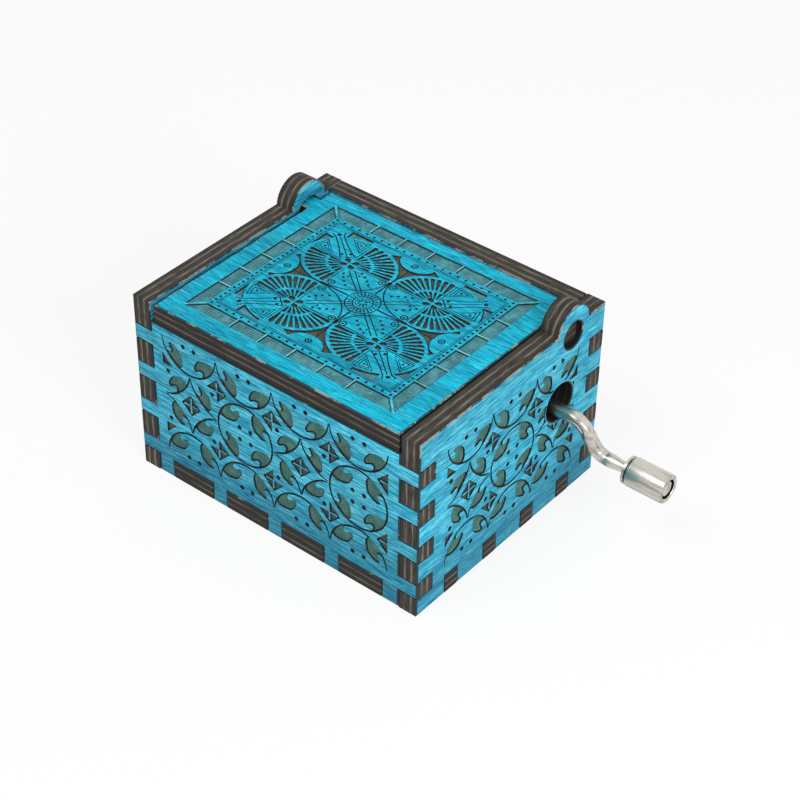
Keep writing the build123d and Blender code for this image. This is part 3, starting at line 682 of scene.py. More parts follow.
# ---------------------------------------------------------------- engravings
@dataclass
class Engraving:
    """Shapes in a panel's own plane, in millimetres; a later shape goes over an earlier one."""

    shapes: list[tuple[list[Array], Level]] = field(default_factory=list)
    # the width of a pocket's dark outline, partly char and partly painted shade along its wall
    outline: float = 0.19
    weight: float = 1.0

    def add(self, level: Level, *loops: Array) -> None:
        """Adds a shape of one or more closed loops."""
        self.shapes.append((list(loops), level))

    def line(self, points: Array, width: float, closed: bool = False, taper: float = 1.0) -> None:
        """Burns a line along a path.

        Args:
            points: the path.
            width: the line's width.
            closed: whether the path closes.
            taper: the share of the width that the line has at its two ends.
        """
        half = width * self.weight / 2
        if closed:
            self.add(Level.BURN, offset(points, half), offset(points, -half))
            return
        left = left_of(np.diff(points, axis=0))
        side = (join([left[:1], left]) + join([left, left[-1:]])) / 2
        side = side * half * (1 - (1 - taper) * np.linspace(-1, 1, len(points))[:, None] ** 4)
        self.add(Level.BURN, join([points + side, (points - side)[::-1]]))

    def pocket(self, points: Array, floor: Level = Level.FILL, edge: Optional[float] = None) -> None:
        """A filled shape: a burnt outline, partly char and partly painted shade along its wall, with a floor of
        another finish inside it.
        """
        x, y = points.T
        anticlockwise = (x * np.roll(y, -1) - y * np.roll(x, -1)).sum() > 0
        loop = points if anticlockwise else points[::-1]
        # painted shade: the outline ring is dark, partly char and partly the shade at the pocket's wall
        self.add(Level.BURN, loop)
        self.add(floor, offset(loop, self.outline if edge is None else edge))

    def dot(self, x: float, y: float, radius: float) -> None:
        """A small burnt dot."""
        self.add(Level.BURN, arc((x, y), radius, 0, 330, 30))

    def ring(self, x: float, y: float, radius: float, width: float) -> None:
        """A burnt circle."""
        self.line(arc((x, y), radius, 0, 352, 8), width, closed=True)

    def swapped(self) -> "Engraving":
        """The design in the (z, x) order of a panel that lies across Y."""
        self.shapes = [([loop[:, ::-1] for loop in loops], level) for loops, level in self.shapes]
        return self


@dataclass
class ScrollField(Engraving):
    """A lattice of circles and hollow stars, with a curled leaf in each quarter.

    Stars and whole circles take turns in the middle row, and half circles close the rows above and below. LEAF
    is a closed chain of cubic curves, as (angle, share of the circle's radius): a row is a curve's start and
    its two handles.
    """

    columns: int = 4
    pitch: float = 12.75
    row: float = 13.1
    middle: float = 19.3
    radius: float = 6.28
    width: float = 0.42
    bead: float = 0.48
    bead_apart: float = 1.25
    star_flat: float = 0.06

    LEAF = np.array((((69, 1.0), (56, 1.01), (43, 1.01)), ((29, 1.0), (31, 0.93), (38, 0.9)),
                     ((36, 0.83), (34, 0.755), (26, 0.785)), ((17, 0.79), (12, 0.71), (16, 0.61)),
                     ((25, 0.56), (34, 0.48), (50, 0.45)), ((60, 0.555), (70, 0.66), (76, 0.84))))

    def leaf(self, centre: Sequence[float], quarter: int, share: float = 1.0) -> None:
        """A curled leaf on the inside of a circle.

        Args:
            centre: the circle's middle.
            quarter: 0 to 3, anticlockwise from the upper right.
            share: the leaf's reach as a share of the circle's radius.
        """
        a, b, c = (self.LEAF[:, k, None] for k in range(3))
        t = np.linspace(0, 1, 7, endpoint=False)[:, None]
        curve = (1 - t) ** 3 * a + 3 * (1 - t) ** 2 * t * b + 3 * (1 - t) * t ** 2 * c + t ** 3 * np.roll(a, -1, 0)
        turn, reach = curve.reshape(-1, 2).T
        self.pocket(np.asarray(centre) + polar(turn + 90 * quarter, self.radius * share * reach))

    def diamond(self, x: float, y: float, half: float, quarters: Sequence[int]) -> None:
        """Some quarters of a dark square on its corner, with a painted cross where two of them meet."""
        corner = np.array([(0, 0), (half, 0), (0, half)])
        slim, wide, root, tip = 0.13, 0.2, 0.2, 0.72 * half
        arm = np.array([(-slim, -slim), (root, -slim), (tip, -wide), (tip, wide), (root, slim), (-slim, slim)])
        spins = [np.array([[c, s], [-s, c]]) for c, s in ((1, 0), (0, 1), (-1, 0), (0, -1))]
        for quarter in quarters:
            self.pocket(corner @ spins[quarter] + (x, y), Level.SCORCH)
        for quarter in quarters:
            if (quarter - 1) % 4 in quarters:
                self.add(Level.FACE, arm @ spins[quarter] + (x, y))

    def dots(self, x: float, y: float, *rows: float) -> None:
        """Pairs of dots about a place."""
        for side in (-1, 1):
            for rise in rows:
                self.dot(x + side * self.bead_apart, y + rise, self.bead)

    def hollow(self, corner: Array, opposite: int, size: Sequence[float]) -> None:
        """A quarter arc of a star round a lattice corner, a little flatter than a circle: r (1 - k sin^2 2t)."""
        turn = np.linspace(3, 87, 15)
        flat = 1 - self.star_flat * np.sin(2 * np.radians(turn)) ** 2
        self.line(corner + polar(turn + 90 * opposite, flat) * size, self.width, taper=0.6)

    def draw(self) -> "ScrollField":
        """Draws the whole field and returns it."""
        places = (np.arange(self.columns) - (self.columns - 1) / 2) * self.pitch
        low, high = self.middle - self.row, self.middle + self.row
        half, rise = self.pitch / 2, self.row / 2
        for i, x in enumerate(places):
            self.line(arc((x, high), self.radius, 183, 357), self.width, taper=0.5)
            self.line(arc((x, low), self.radius, 3, 177), self.width, taper=0.5)
            star = i % 2 == 0
            if not star:
                self.ring(x, self.middle, self.radius, self.width)
            for quarter, flips in enumerate(FLIPS):
                self.leaf((x, high if quarter > 1 else low), quarter)
                if not star:
                    self.leaf((x, self.middle), quarter)
                    continue
                corner, opposite = np.array([x, self.middle]) + np.multiply(flips, (half, rise)), (quarter + 2) % 4
                self.hollow(corner, opposite, (half - 0.1, rise - 0.15))
                self.leaf(corner, opposite, 0.95)
                self.dot(*(corner - np.multiply(flips, (1.15, 1.3))), self.bead)
            if star:
                self.diamond(x, self.middle, 2.3, range(4))
            else:
                self.dots(x, self.middle, -1.3, 1.3)
            self.dots(x, high, -0.7)
            self.dots(x, low, 0.7)
        for i, x in enumerate(np.append(places - half, places[-1] + half)):
            for up in (1, -1):
                free = [quarter for quarter, (side, way) in enumerate(FLIPS)
                        for cell in [i if side > 0 else i - 1]
                        if 0 <= cell < self.columns and (cell % 2 == 1 or way == up)]
                self.diamond(x, self.middle + up * rise, 2.4, free)
        return self


@dataclass
class LidField(Engraving):
    """A brick border, a beaded band, four fan medallions and a small wheel in the middle."""

    weight: float = 1.25
    centre: tuple[float, float] = (0.1, -1.88)
    half: tuple[float, float] = (23.35, 20.1)
    brick: float = 2.75
    joints: tuple[tuple[float, ...], tuple[float, ...]] = ((-13.0, -6.5, 0.0, 6.5, 13.0),
                                                          (-11.2, -5.6, 0.0, 5.6, 11.2))
    gap: float = 0.16
    bead_pitch: tuple[float, float] = (1.7, 1.15)
    middle: tuple[float, float] = (9.35, 7.5)
    radii: tuple[float, float] = (9.1, 7.3)
    field_inset: float = 1.75
    mitre_gap: float = 2.4          # in gaps
    brick_outline: float = 0.11

    TRIANGLE = np.array([(0.5, 0.09), (0.95, 0.09), (0.86, 0.47)])
    TIERS = ((0.2, 0.46, 6, 0.66), (0.52, 0.96, 10, 0.68))      # a fan's slots: from, to, count and width
    # on both sides of an angle: (the angle, turns away from it, reaches, width) and the same with one radius
    STROKES = ((45, (33, 20, 11, 6.5, 5, 6.5), (0.3, 0.4, 0.58, 0.82, 1.06, 1.2), 0.18),
               (225, (13, 2.6), (0.27, 1.05), 0.17),
               *((angle, (8, 1.8), (0.2, 0.94), 0.14) for angle in (0, 90, 180, 270)))
    DOTS = ((45, 15, 0.37, 0.3), (225, 13, 0.5, 0.22),
            *((225, 28 - 11 * t, 0.42 + 0.42 * t, 0.28) for t in (0, 1 / 3, 2 / 3, 1)))

    def place(self, points: Array) -> Array:
        """Moves points from the design's middle to the lid."""
        return np.asarray(points, float) + self.centre

    def inner(self, inset: float) -> Array:
        """Half the size of a rectangle inside the bricks."""
        return np.array(self.half) - self.brick - inset

    def band(self, side: int, outer: Sequence[float], inner: Sequence[float]) -> Array:
        """A piece of a side's bricks, from its ends outside and inside; sides 1 and 3 lie along Y, 2 and 3 below 0."""
        edge = self.half[1 - side % 2]
        flat = np.array([(outer[0], edge), (outer[1], edge), (inner[1], edge - self.brick),
                         (inner[0], edge - self.brick)]) * (1, 1 if side < 2 else -1)
        return self.place(flat[:, ::-1] if side % 2 else flat)

    def border(self) -> None:
        """The bricks: each side's band cut at its joints, with mitred corner bricks and pale joints."""
        slope = self.mitre_gap * self.gap
        for side in range(4):
            joints, end = self.joints[side % 2], self.half[side % 2]
            for cut in joints:
                ends = (cut - self.gap, cut + self.gap)
                self.add(Level.PALE, self.band(side, ends, ends))
            lows = [(-end + slope, self.brick)] + [(cut + self.gap, 0.0) for cut in joints]
            highs = [(cut - self.gap, 0.0) for cut in joints] + [(end - slope, self.brick)]
            for (start, begin), (stop, finish) in zip(lows, highs):
                self.pocket(self.band(side, (start, stop), (start + begin, stop - finish)),
                            edge=self.brick_outline)
        tip, across, down = np.array(self.half), np.array((-self.gap, 0)), np.array((0, -self.gap))
        mitre = np.array([tip + across, tip, tip + down, tip + down - self.brick, tip - self.brick,
                          tip + across - self.brick])
        for flips in FLIPS:
            self.add(Level.PALE, self.place(mitre * flips))

    def frame(self, inset: float, width: float) -> None:
        """A thin rectangle inside the bricks."""
        x, y = self.inner(inset)
        self.line(self.place([(-x, -y), (x, -y), (x, y), (-x, y)]), width, closed=True)

    def beads(self, inset: float, radius: float) -> None:
        """A row of small dots inside the bricks, all the way round."""
        size = self.inner(inset)
        for along in (0, 1):
            count = round(2 * size[along] / self.bead_pitch[along])
            for t in np.linspace(-size[along], size[along], count + 1)[along:count + 1 - along]:
                for sign in (-1, 1):
                    spot = (t, sign * size[1]) if along == 0 else (sign * size[0], t)
                    self.dot(*self.place(spot), radius)

    def medal(self, flips: Sequence[int], unit: Array) -> Array:
        """Puts points of the unit circle on a medallion; 45 degrees points to the lid's corner."""
        return self.place((np.array(self.middle) + np.asarray(unit) * self.radii) * flips)

    def fans(self, flips: Sequence[int]) -> None:
        """A medallion's two fans: two tiers of radial slots in each of two quarters."""
        for start in (91, 271):
            for low, high, count, share in self.TIERS:
                step = 88 / count
                turn = np.array([-0.72, 0.72, 1.0, 0.75, 0.0, -0.75, -1.0]) * step * share / 2
                reach = [low, low, high - 0.045, high - 0.012, high, high - 0.012, high - 0.045]
                for i in range(count):
                    slot = polar(turn + start + (i + 0.5) * step, reach)
                    self.pocket(self.medal(flips, slot), Level.SCORCH, 0.1)

    def medallion(self, flips: Sequence[int]) -> None:
        """Fans, petals, a spear with rows of dots towards the wheel, and towards the corner a bell and triangles."""
        self.fans(flips)
        t = np.linspace(0, 2 * np.pi, 12, endpoint=False)
        for angle in range(45, 360, 90):
            petal = polar(angle + 29 * np.sin(t), 0.125 + 0.09 * np.cos(t))
            self.pocket(self.medal(flips, petal), Level.SCORCH, 0.16)
        self.line(self.medal(flips, polar(np.linspace(178, 272, 24), 1.0)), 0.2)
        self.line(self.medal(flips, polar([12, 78], 0.3)), 0.18)
        self.line(self.medal(flips, polar(45, [0.18, 1.05])), 0.16)
        for side in (-1, 1):
            for middle, turn, reach, width in self.STROKES:
                self.line(self.medal(flips, polar(middle + side * np.array(turn), reach)), width)
            for middle, turn, reach, radius in self.DOTS:
                self.dot(*self.medal(flips, polar(middle + side * turn, reach)), radius)
            corners = self.TRIANGLE[:, ::side]
            middle = corners.mean(0)
            self.dot(*self.medal(flips, middle), 0.26)
            for inset in (0.0, 0.4):
                self.line(self.medal(flips, corners + (middle - corners) * inset), 0.16, closed=True)
        self.dot(*self.medal(flips, polar(45, 1.13)), 0.42)

    def spandrels(self) -> None:
        """The ground between the medallions and the frame: corners, and a crest at each side's middle."""
        (mx, my), radii, edge = self.middle, np.array(self.radii) * 1.03, self.inner(self.field_inset)
        ex, ey = edge
        for flips in FLIPS:
            upper, side = arc((mx, my), radii, 84, 52, 4), arc((mx, my), radii, 38, 6, 4)
            upper = join([upper, [(upper[-1, 0] + 0.2, ey), (upper[0, 0], ey)]])
            side = join([side, [(ex, side[-1, 1]), (ex, side[0, 1] + 0.2)]])
            for shape in (upper, side):
                self.pocket(self.place(np.minimum(shape, edge) * flips), Level.FILL, 0.2)
        crests = (((0, 1), 1.35, (arc((-mx, my), radii, 66, 12, 5), arc((mx, my), radii, 168, 114, 5),
                                  arc((0, ey + 0.1), (3.75, 3.0), 352, 188, 9))),
                  ((1, 0), 1.5, (arc((ex + 0.1, 0), (3.2, 3.55), 98, 262, 9), arc((mx, -my), radii, 24, 102, 5),
                                 arc((mx, my), radii, 258, 336, 5))))
        for way, eye, parts in crests:
            crest = join(parts)
            crest = crest[crest @ way < edge @ way - 0.1]
            for sign in (-1, 1):
                self.pocket(self.place(crest * (1 + (sign - 1) * np.array(way))), Level.SCORCH, 0.14)
                self.eye(*(sign * (edge @ way - eye) * np.array(way)), 0.55)

    def eye(self, x: float, y: float, size: float) -> None:
        """A dot in a ring."""
        spot = self.place((x, y))
        self.ring(*spot, size, 0.2)
        self.dot(*spot, size * 0.42)

    def wheel(self) -> None:
        """The wheel in the middle: rings, short spokes and a petalled hub, with a slit and eyes on each side."""
        for radius, width in ((3.15, 0.19), (1.8, 0.2), (1.3, 0.14)):
            self.ring(*self.centre, radius, width)
        for turn in range(0, 360, 15):
            self.line(self.place(polar(turn, np.linspace(2.0, 2.85, 3))), 0.21)
        t = np.linspace(0, 2 * np.pi, 8, endpoint=False)
        for turn in range(0, 360, 45):
            self.add(Level.BURN, self.place(polar(turn + 16 * np.sin(t), 0.68 + 0.38 * np.cos(t))))
        for turn in range(0, 360, 90):
            way = np.round(polar(turn, 1.0))
            far = float(np.abs(way) @ self.inner(self.field_inset))
            self.line(self.place(way * np.linspace(3.4, far - 2.9, 3)[:, None]), 0.26)
            for sign in (-1, 1):
                self.eye(*(way * (0.44 * far - 0.1) + way[::-1] * sign * 1.25), 0.62)

    def draw(self) -> "LidField":
        """Draws the whole lid and returns it."""
        self.border()
        self.beads(0.66, 0.28)
        self.frame(1.25, 0.14)
        self.frame(self.field_inset - 0.13, 0.1)
        self.spandrels()
        for flips in FLIPS:
            self.medallion(flips)
        self.wheel()
        return self


# ---------------------------------------------------------------- plywood panels
@dataclass
class Panel:
    """A plywood panel: two faces with a rim of char, wear and painted light, an engraving in its outer face, and burnt
    edges.
    """

    node: str
    body: str
    axis: int
    outward: int
    slot: Slot
    engraving: Engraving
    rim: float = 0.28
    drop: float = 0.15

    def lift(self, points: Array, height: float | Array) -> Array:
        """Puts plane points back into space at a coordinate across the sheet."""
        placed = np.empty((*points.shape[:-1], 3))
        placed[..., (self.axis + 1) % 3], placed[..., (self.axis + 2) % 3] = points[..., 0], points[..., 1]
        placed[..., self.axis] = height
        return placed

    def face(self, inner: Array, follow: Array, level: float, way: int) -> tuple[Array, Array]:
        """Fills one face inside its rim and sinks the engraving into it, if it's the outer face.

        Args:
            inner: the loops inside the rim.
            follow: the index of the point that follows each of theirs.
            level: the face's coordinate across the sheet.
            way: 1 if the face looks along +axis, or -1.

        Returns:
            The triangles and their finishes.
        """
        shapes = self.engraving.shapes if way == self.outward else []
        parts = [inner] + [join(loops) for loops, _ in shapes]
        points = join(parts)
        sizes = np.array([len(loop) for loops, _ in shapes for loop in loops], int)
        after = np.arange(1, len(points) + 1)
        after[len(inner) + np.cumsum(sizes) - 1] -= sizes
        after[:len(inner)] = follow
        ends = np.split(points[after], np.cumsum([len(part) for part in parts])[:-1])
        out, _, faces, *_ = delaunay_2d_cdt([Vector(point) for point in points.tolist()],
                                            np.stack([np.arange(len(points)), after], -1).tolist(), [], 0, CDT_WELD)
        spots, faces = np.array([tuple(point) for point in out]), np.array(faces)
        (ax, ay), (bx, by), (cx, cy) = spots[faces].transpose(1, 2, 0)
        clockwise = (bx - ax) * (cy - ay) - (by - ay) * (cx - ax) < 0
        faces[clockwise] = faces[clockwise][:, ::-1]
        middles = spots[faces].mean(1)
        kept = inside(middles, parts[0], ends[0])
        faces, middles = faces[kept], middles[kept]
        order = list(Level)
        kind = np.zeros(len(faces), int)
        for first, last, (_, depth) in zip(parts[1:], ends[1:], shapes):
            near = np.flatnonzero(((middles >= first.min(0)) & (middles <= first.max(0))).all(1))
            kind[near[inside(middles[near], first, last)]] = order.index(depth)
        heights = level - way * np.array([depth.depth for depth in order])[kind]
        walls = self.walls(spots, faces, kind, heights)
        triangles = join([self.lift(spots[faces], heights[:, None]), walls])
        finishes = np.array([depth.finish for depth in order])[kind]
        return (triangles if way > 0 else triangles[:, ::-1],
                join([finishes, np.full(len(walls), Level.BURN.finish)]))

    def walls(self, spots: Array, faces: Array, kind: Array, heights: Array) -> Array:
        """Upright strips between neighbours at different depths.

        Each shared edge (i, j) gives a strip j-i at the first face's height to i-j at the other's.

        Args:
            spots: (n, 2) points.
            faces: (m, 3) indices.
            kind: (m,) each face's level.
            heights: (m,) each face's coordinate across the sheet.

        Returns:
            The strips' triangles.
        """
        edges = join([faces[:, [0, 1]], faces[:, [1, 2]], faces[:, [2, 0]]])
        owner = np.tile(np.arange(len(faces)), 3)
        key, back = edges @ (len(spots), 1), edges @ (1, len(spots))
        order = np.argsort(key)
        found = order[np.minimum(np.searchsorted(key[order], back), len(key) - 1)]
        other = owner[found]
        use = (key[found] == back) & (edges[:, 0] < edges[:, 1]) & (kind[owner] != kind[other])
        i, j = spots[edges[use]].transpose(1, 0, 2)
        high, low = heights[owner[use]], heights[other[use]]
        return quads(self.lift(j, high), self.lift(i, high), self.lift(i, low), self.lift(j, low))

    def build(self, materials: Sequence[Material]) -> None:
        """Makes the panel and puts it in its node's place.

        Args:
            materials: stained face, burnt edge, rim of char, wear and painted light, engraved floor, burnt line,
                scorched ground and rubbed joint.
        """
        triangles = node_triangles(self.node)
        across = triangles[:, :, self.axis]
        soup, finishes = [], []
        rest = np.ones(len(triangles), bool)
        sunk = np.zeros(across.shape)
        for way, level in ((1, across.max()), (-1, across.min())):
            at = np.abs(across - level) < WELD
            flat = at.all(1)
            rest &= ~flat
            sunk += at * way * self.drop
            sheet = triangles[flat][..., [(self.axis + 1) % 3, (self.axis + 2) % 3]]
            points, after = outline(sheet if way > 0 else sheet[:, ::-1])
            flat_inner = offset(points, self.rim, after)
            made, kinds = self.face(flat_inner, after, level, way)
            inner, outer = self.lift(flat_inner, level), self.lift(points, level - way * self.drop)
            strip = quads(outer, outer[after], inner[after], inner)
            soup.extend([made, strip if way > 0 else strip[:, ::-1]])
            finishes.extend([kinds, np.full(len(strip), RIM_FINISH)])
        across -= sunk
        soup.append(triangles[rest])
        finishes.append(np.full(rest.sum(), EDGE_FINISH))
        piece = build_mesh(f"{self.node}_dressed", join(soup), join(finishes), materials)
        dress(piece, self.node, self.body)


@dataclass
class PlywoodCase:
    """The six plywood panels, with their finishes.

    SHEETS gives a kind of sheet's stain, pale streaks and a dark colour for pores and for painted shade at the foot,
    its engraved floor and the floor's hatching, then its grain, the turn and number of the laser's passes, and the
    heights over which its rim is rubbed pale and given a painted highlight.
    PLANS gives each panel's body, its axis across the sheet, the way out along it, and its kind of sheet.
    """

    effects: Effects
    hinge_bore: Triple = (16.2 * MM, 35.75 * MM, 2.7 * MM)
    crank_bore: Triple = (1.0 * MM, 0.7 * MM, 3.8 * MM)     # behind and above the shaft's bush, and the radius
    clear_of_bore: float = 0.45
    lid_soot: float = 0.8
    wall_soot: float = 0.35

    WALL = (srgb(16, 146, 180), srgb(98, 206, 226), srgb(0, 86, 120), srgb(76, 122, 114), srgb(34, 70, 68))
    LID = (srgb(0, 158, 192), srgb(30, 202, 226), srgb(0, 88, 118), srgb(84, 156, 166), srgb(28, 66, 70))
    SHEETS = {"wall_along_x": (*WALL, Grain.ALONG_X, 0.0, 800.0, (0.034, 0.0362)),
              "wall_along_y": (*WALL, Grain.ALONG_Y, math.pi / 2, 800.0, (0.034, 0.0362)),
              "lid": (*LID, Grain.ALONG_X, math.pi / 2, 640.0, (0.0362, 0.0382))}
    PLANS = {"front_panel": ("case", 1, -1, "wall_along_x"), "back_panel": ("case", 1, 1, "wall_along_x"),
             "left_panel": ("case", 0, -1, "wall_along_y"), "right_panel": ("case", 0, 1, "wall_along_y"),
             "bottom_panel": ("case", 2, -1, "wall_along_x"), "lid_panel": ("lid", 2, 1, "lid")}

    def design(self, node: str, bores: Sequence[Triple]) -> Engraving:
        """The engraving of a panel, in the panel's own plane.

        Args:
            node: the panel's name.
            bores: its round holes, of which the second is the crank's and stays clear of the engraving.

        Returns:
            Its shapes, or none for the bottom.
        """
        if node == "lid_panel":
            return LidField().draw()
        if node in ("front_panel", "back_panel"):
            return ScrollField().draw().swapped()
        if not bores:
            return Engraving()
        design = ScrollField(columns=3, pitch=12.2, radius=6.05, row=13.0, middle=19.5).draw()
        for y, z, radius in bores[1:]:
            design.add(Level.FACE, arc((y / MM, z / MM), radius / MM + self.clear_of_bore, 0, 354))
        return design

    def bores(self, node: str) -> tuple[Triple, ...]:
        """The round holes through a side panel, as (y, z, radius) in metres: for the hinge and for the crank."""
        if node not in ("left_panel", "right_panel"):
            return ()
        if node == "left_panel":
            return (self.hinge_bore,)
        low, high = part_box("right_crank_bush")
        behind, above, radius = self.crank_bore
        return self.hinge_bore, ((low.y + high.y) / 2 + behind, (low.z + high.z) / 2 + above, radius)

    def build(self) -> None:
        """Builds every panel."""
        shared = [finish.material(self.effects) for finish in (
            BurntLine("burnt_line"), EngravedFloor("scorched_ground", srgb(82, 92, 82), srgb(36, 46, 42)),
            StainedFace("rubbed_joint", srgb(84, 182, 194), srgb(134, 210, 214), srgb(50, 138, 150),
                        Grain.ALONG_X))]
        sheets = {}
        for name, (color, pale, deep, floor, hatch, grain, turn, passes, rub_and_highlight_heights) in self.SHEETS.items():
            finishes = (StainedFace(f"stained_{name}", color, pale, deep, grain),
                        RimCharWearAndPaintedLight(f"rim_char_wear_and_painted_light_{name}", color, rub_and_highlight_heights),
                        EngravedFloor(f"engraved_{name}", floor, hatch, turn, passes))
            sheets[name] = [finish.material(self.effects) for finish in finishes]
        for node, (body, axis, outward, kind) in self.PLANS.items():
            bores, (low, high), (face, rim, floor) = self.bores(node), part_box(node), sheets[kind]
            soot = self.lid_soot if axis == 2 else self.wall_soot
            edge = BurntEdge(f"burnt_edge_{node}", axis, low[axis], high[axis], soot, bores)
            panel = Panel(node, body, axis, outward, Slot.LID if kind == "lid" else Slot.WALL,
                          self.design(node, bores))
            panel.build([face, edge.material(self.effects), rim, floor, *shared])


# ---------------------------------------------------------------- crank
@dataclass
class Crank:
    """The nickel crank: a rod with two pressed bends, a thin washer and a hollow turned knob."""

    effects: Effects
    rod_radius: float = 1.3
    end_radius: float = 0.95
    bend_radius: float = 3.2
    first_bend: float = 5.4         # from the wall
    second_bend: float = 3.0        # before the shoulder
    neck: float = 3.15
    sides: int = 40
    dent: float = 0.16
    crease: float = 0.24
    crease_width: float = 0.17
    flat_across: float = 1.5        # in dents
    fade: float = 2.0
    ease: float = 0.8
    washer_radius: float = 2.65
    knob_radius: float = 2.75
    knob_edge: float = 0.35
    knob_bore: float = 1.01
    mouth_radius: float = 1.85
    mouth_depth: float = 1.2
    head: tuple[tuple[float, float], ...] = ((0.95, 1.35), (0.85, 1.5), (0.4, 1.5), (0.2, 1.38), (0.07, 1.0),
                                             (0.01, 0.5), (0.0, 0.0))       # (depth under the tip, radius)

    def centreline(self) -> tuple[Array, Array, float]:
        """The rod's line: straight runs joined by arcs of the bend radius.

        Returns:
            (n, 3) points, (n,) distance to the nearer bend's middle, and the shoulder's X.
        """
        axis, end = box("shaft_clip")[1], box("crank_knob")[1]
        shoulder = box("knob_washer")[0][0] - self.neck
        stops = ((box("crank_rod")[0][0], axis), (box("right_panel")[2][0] + self.first_bend, axis),
                 (shoulder - self.second_bend, end), (shoulder, end))
        corners = [np.array([x, *place[1:]]) for x, place in stops]
        points, marks = [corners[0]], []
        for before, here, after in zip(corners[:-2], corners[1:-1], corners[2:]):
            a, b = (here - before) / np.linalg.norm(here - before), (after - here) / np.linalg.norm(after - here)
            angle = math.acos(float(np.clip(a @ b, -1, 1)))
            inward = (b - a) / np.linalg.norm(b - a)
            middle = here + inward * self.bend_radius / math.cos(angle / 2)
            arm = here - a * self.bend_radius * math.tan(angle / 2) - middle
            turn = np.linspace(0, angle, 16)[:, None]
            points.extend(middle + arm * np.cos(turn) + a * self.bend_radius * np.sin(turn))
            marks.append(middle - inward * self.bend_radius)
        line = np.array([*points, corners[-1]])
        lengths = join([[0], np.cumsum(np.linalg.norm(np.diff(line, axis=0), axis=1))])
        fine = np.unique(join([np.linspace(0, lengths[-1], 160), lengths]))
        line = np.stack([np.interp(fine, lengths, line[:, k]) for k in range(3)], -1)
        return line, np.min([np.linalg.norm(line - mark, axis=1) for mark in marks], 0), shoulder

    def rod(self) -> Array:
        """The rod: a circle carried along the line, pressed flat at each bend and thinner towards the knob.

        The section is (r cos t, r sin t), cut off by flats across the bend and in its plane, with a narrow crease
        down each side. All fade with the distance d from the bend as exp(-(d / fade)^4).
        """
        line, gap, shoulder = self.centreline()
        tangent = np.gradient(line, axis=0)
        tangent /= np.linalg.norm(tangent, axis=1, keepdims=True)
        side = np.cross(line[-1] - line[0], [1.0, 0, 0])
        side /= np.linalg.norm(side)
        up = np.cross(side, tangent)
        up /= np.linalg.norm(up, axis=1, keepdims=True)
        turn = np.linspace(0, 2 * np.pi, self.sides, endpoint=False)
        bell = np.exp(-(gap / self.fade) ** 4)[:, None]
        radius = self.thinned(line[:, 0], shoulder)[:, None]
        thin, tall = radius - self.flat_across * self.dent * bell, radius - self.dent * bell
        crease = self.crease * bell * np.exp(-(np.sin(turn) / self.crease_width) ** 2) * np.sign(np.cos(turn))
        reach_side = np.clip(radius * np.cos(turn), -thin, thin) - crease
        reach_up = np.clip(radius * np.sin(turn), -tall, tall)
        tube = line[:, None] + side * reach_side[..., None] + up[:, None] * reach_up[..., None]
        tip, (first, last) = box("crank_rod")[2][0], line[[0, -1]]
        neck = np.linspace(last[0], last[0] + self.neck, 8)
        profile = [*zip(neck, self.thinned(neck, shoulder)), (tip - self.head[0][0], self.end_radius),
                   *((tip - depth, size) for depth, size in self.head)]
        start = self.turned([(first[0], 0.0), (first[0], self.rod_radius)], *first[1:])
        return join([surface(tube), self.turned(profile, *last[1:]), start])

    def thinned(self, x: Array, shoulder: float) -> Array:
        """The rod's radius at x: it eases from the rod's to its end's, as 3 t^2 - 2 t^3, up to the washer."""
        t = np.clip((x - shoulder + self.ease) / (self.neck + self.ease), 0, 1)
        return self.rod_radius + (self.end_radius - self.rod_radius) * t * t * (3 - 2 * t)

    def turned(self, profile: Sequence[Sequence[float]], y: float, z: float) -> Array:
        """A profile of (x, radius), from low to high X on the outside, spun about the X line through (y, z)."""
        x, radius = np.array(profile, float).T[..., None]
        turn = np.linspace(0, 2 * np.pi, self.sides, endpoint=False)
        grid = np.broadcast_arrays(x, y + radius * np.cos(turn), z + radius * np.sin(turn))
        return surface(np.stack(grid, -1))[:, ::-1]

    def knob_profile(self) -> list[tuple[float, float]]:
        """The knob's section: rounded ends, a bored hole and a wider mouth for the riveted head."""
        (low, *_), _, (high, *_) = box("crank_knob")
        edge, middle, bottom = self.knob_edge, self.knob_radius - self.knob_edge, high - self.mouth_depth
        turns = np.linspace(0, math.pi / 2, 5)
        round_in = [(low + edge - edge * math.sin(t), middle + edge * math.cos(t)) for t in turns[::-1]]
        round_out = [(high - edge + edge * math.sin(t), middle + edge * math.cos(t)) for t in turns]
        return [(low + 0.02, self.knob_bore), (low, self.knob_bore + 0.1), *round_in, *round_out,
                (high, self.mouth_radius + 0.12), (high - 0.12, self.mouth_radius),
                (bottom, self.mouth_radius), (bottom, self.knob_bore), (low + 0.02, self.knob_bore)]

    def washer_profile(self) -> list[tuple[float, float]]:
        """The washer's section, with its outer edges broken."""
        (low, *_), _, (high, *_) = box("knob_washer")
        bore, rim, size = self.end_radius + 0.01, self.washer_radius - 0.15, self.washer_radius
        return [(low, bore), (low, rim), (low + 0.08, size), (high - 0.08, size), (high, rim), (high, bore),
                (low, bore)]

    def build(self) -> None:
        """Builds the rod, the washer and the knob."""
        # painted reflection: the nickel's duller streaks along the rod and knob stand in for dark reflections, besides
        # real dullness
        nickel = Metal("nickel_plate", srgb(206, 202, 191), srgb(132, 129, 121), 0.24, (400, 2600, 2600), 0.2,
                       0.12, (110, 900, 900), 0.75).material(self.effects)
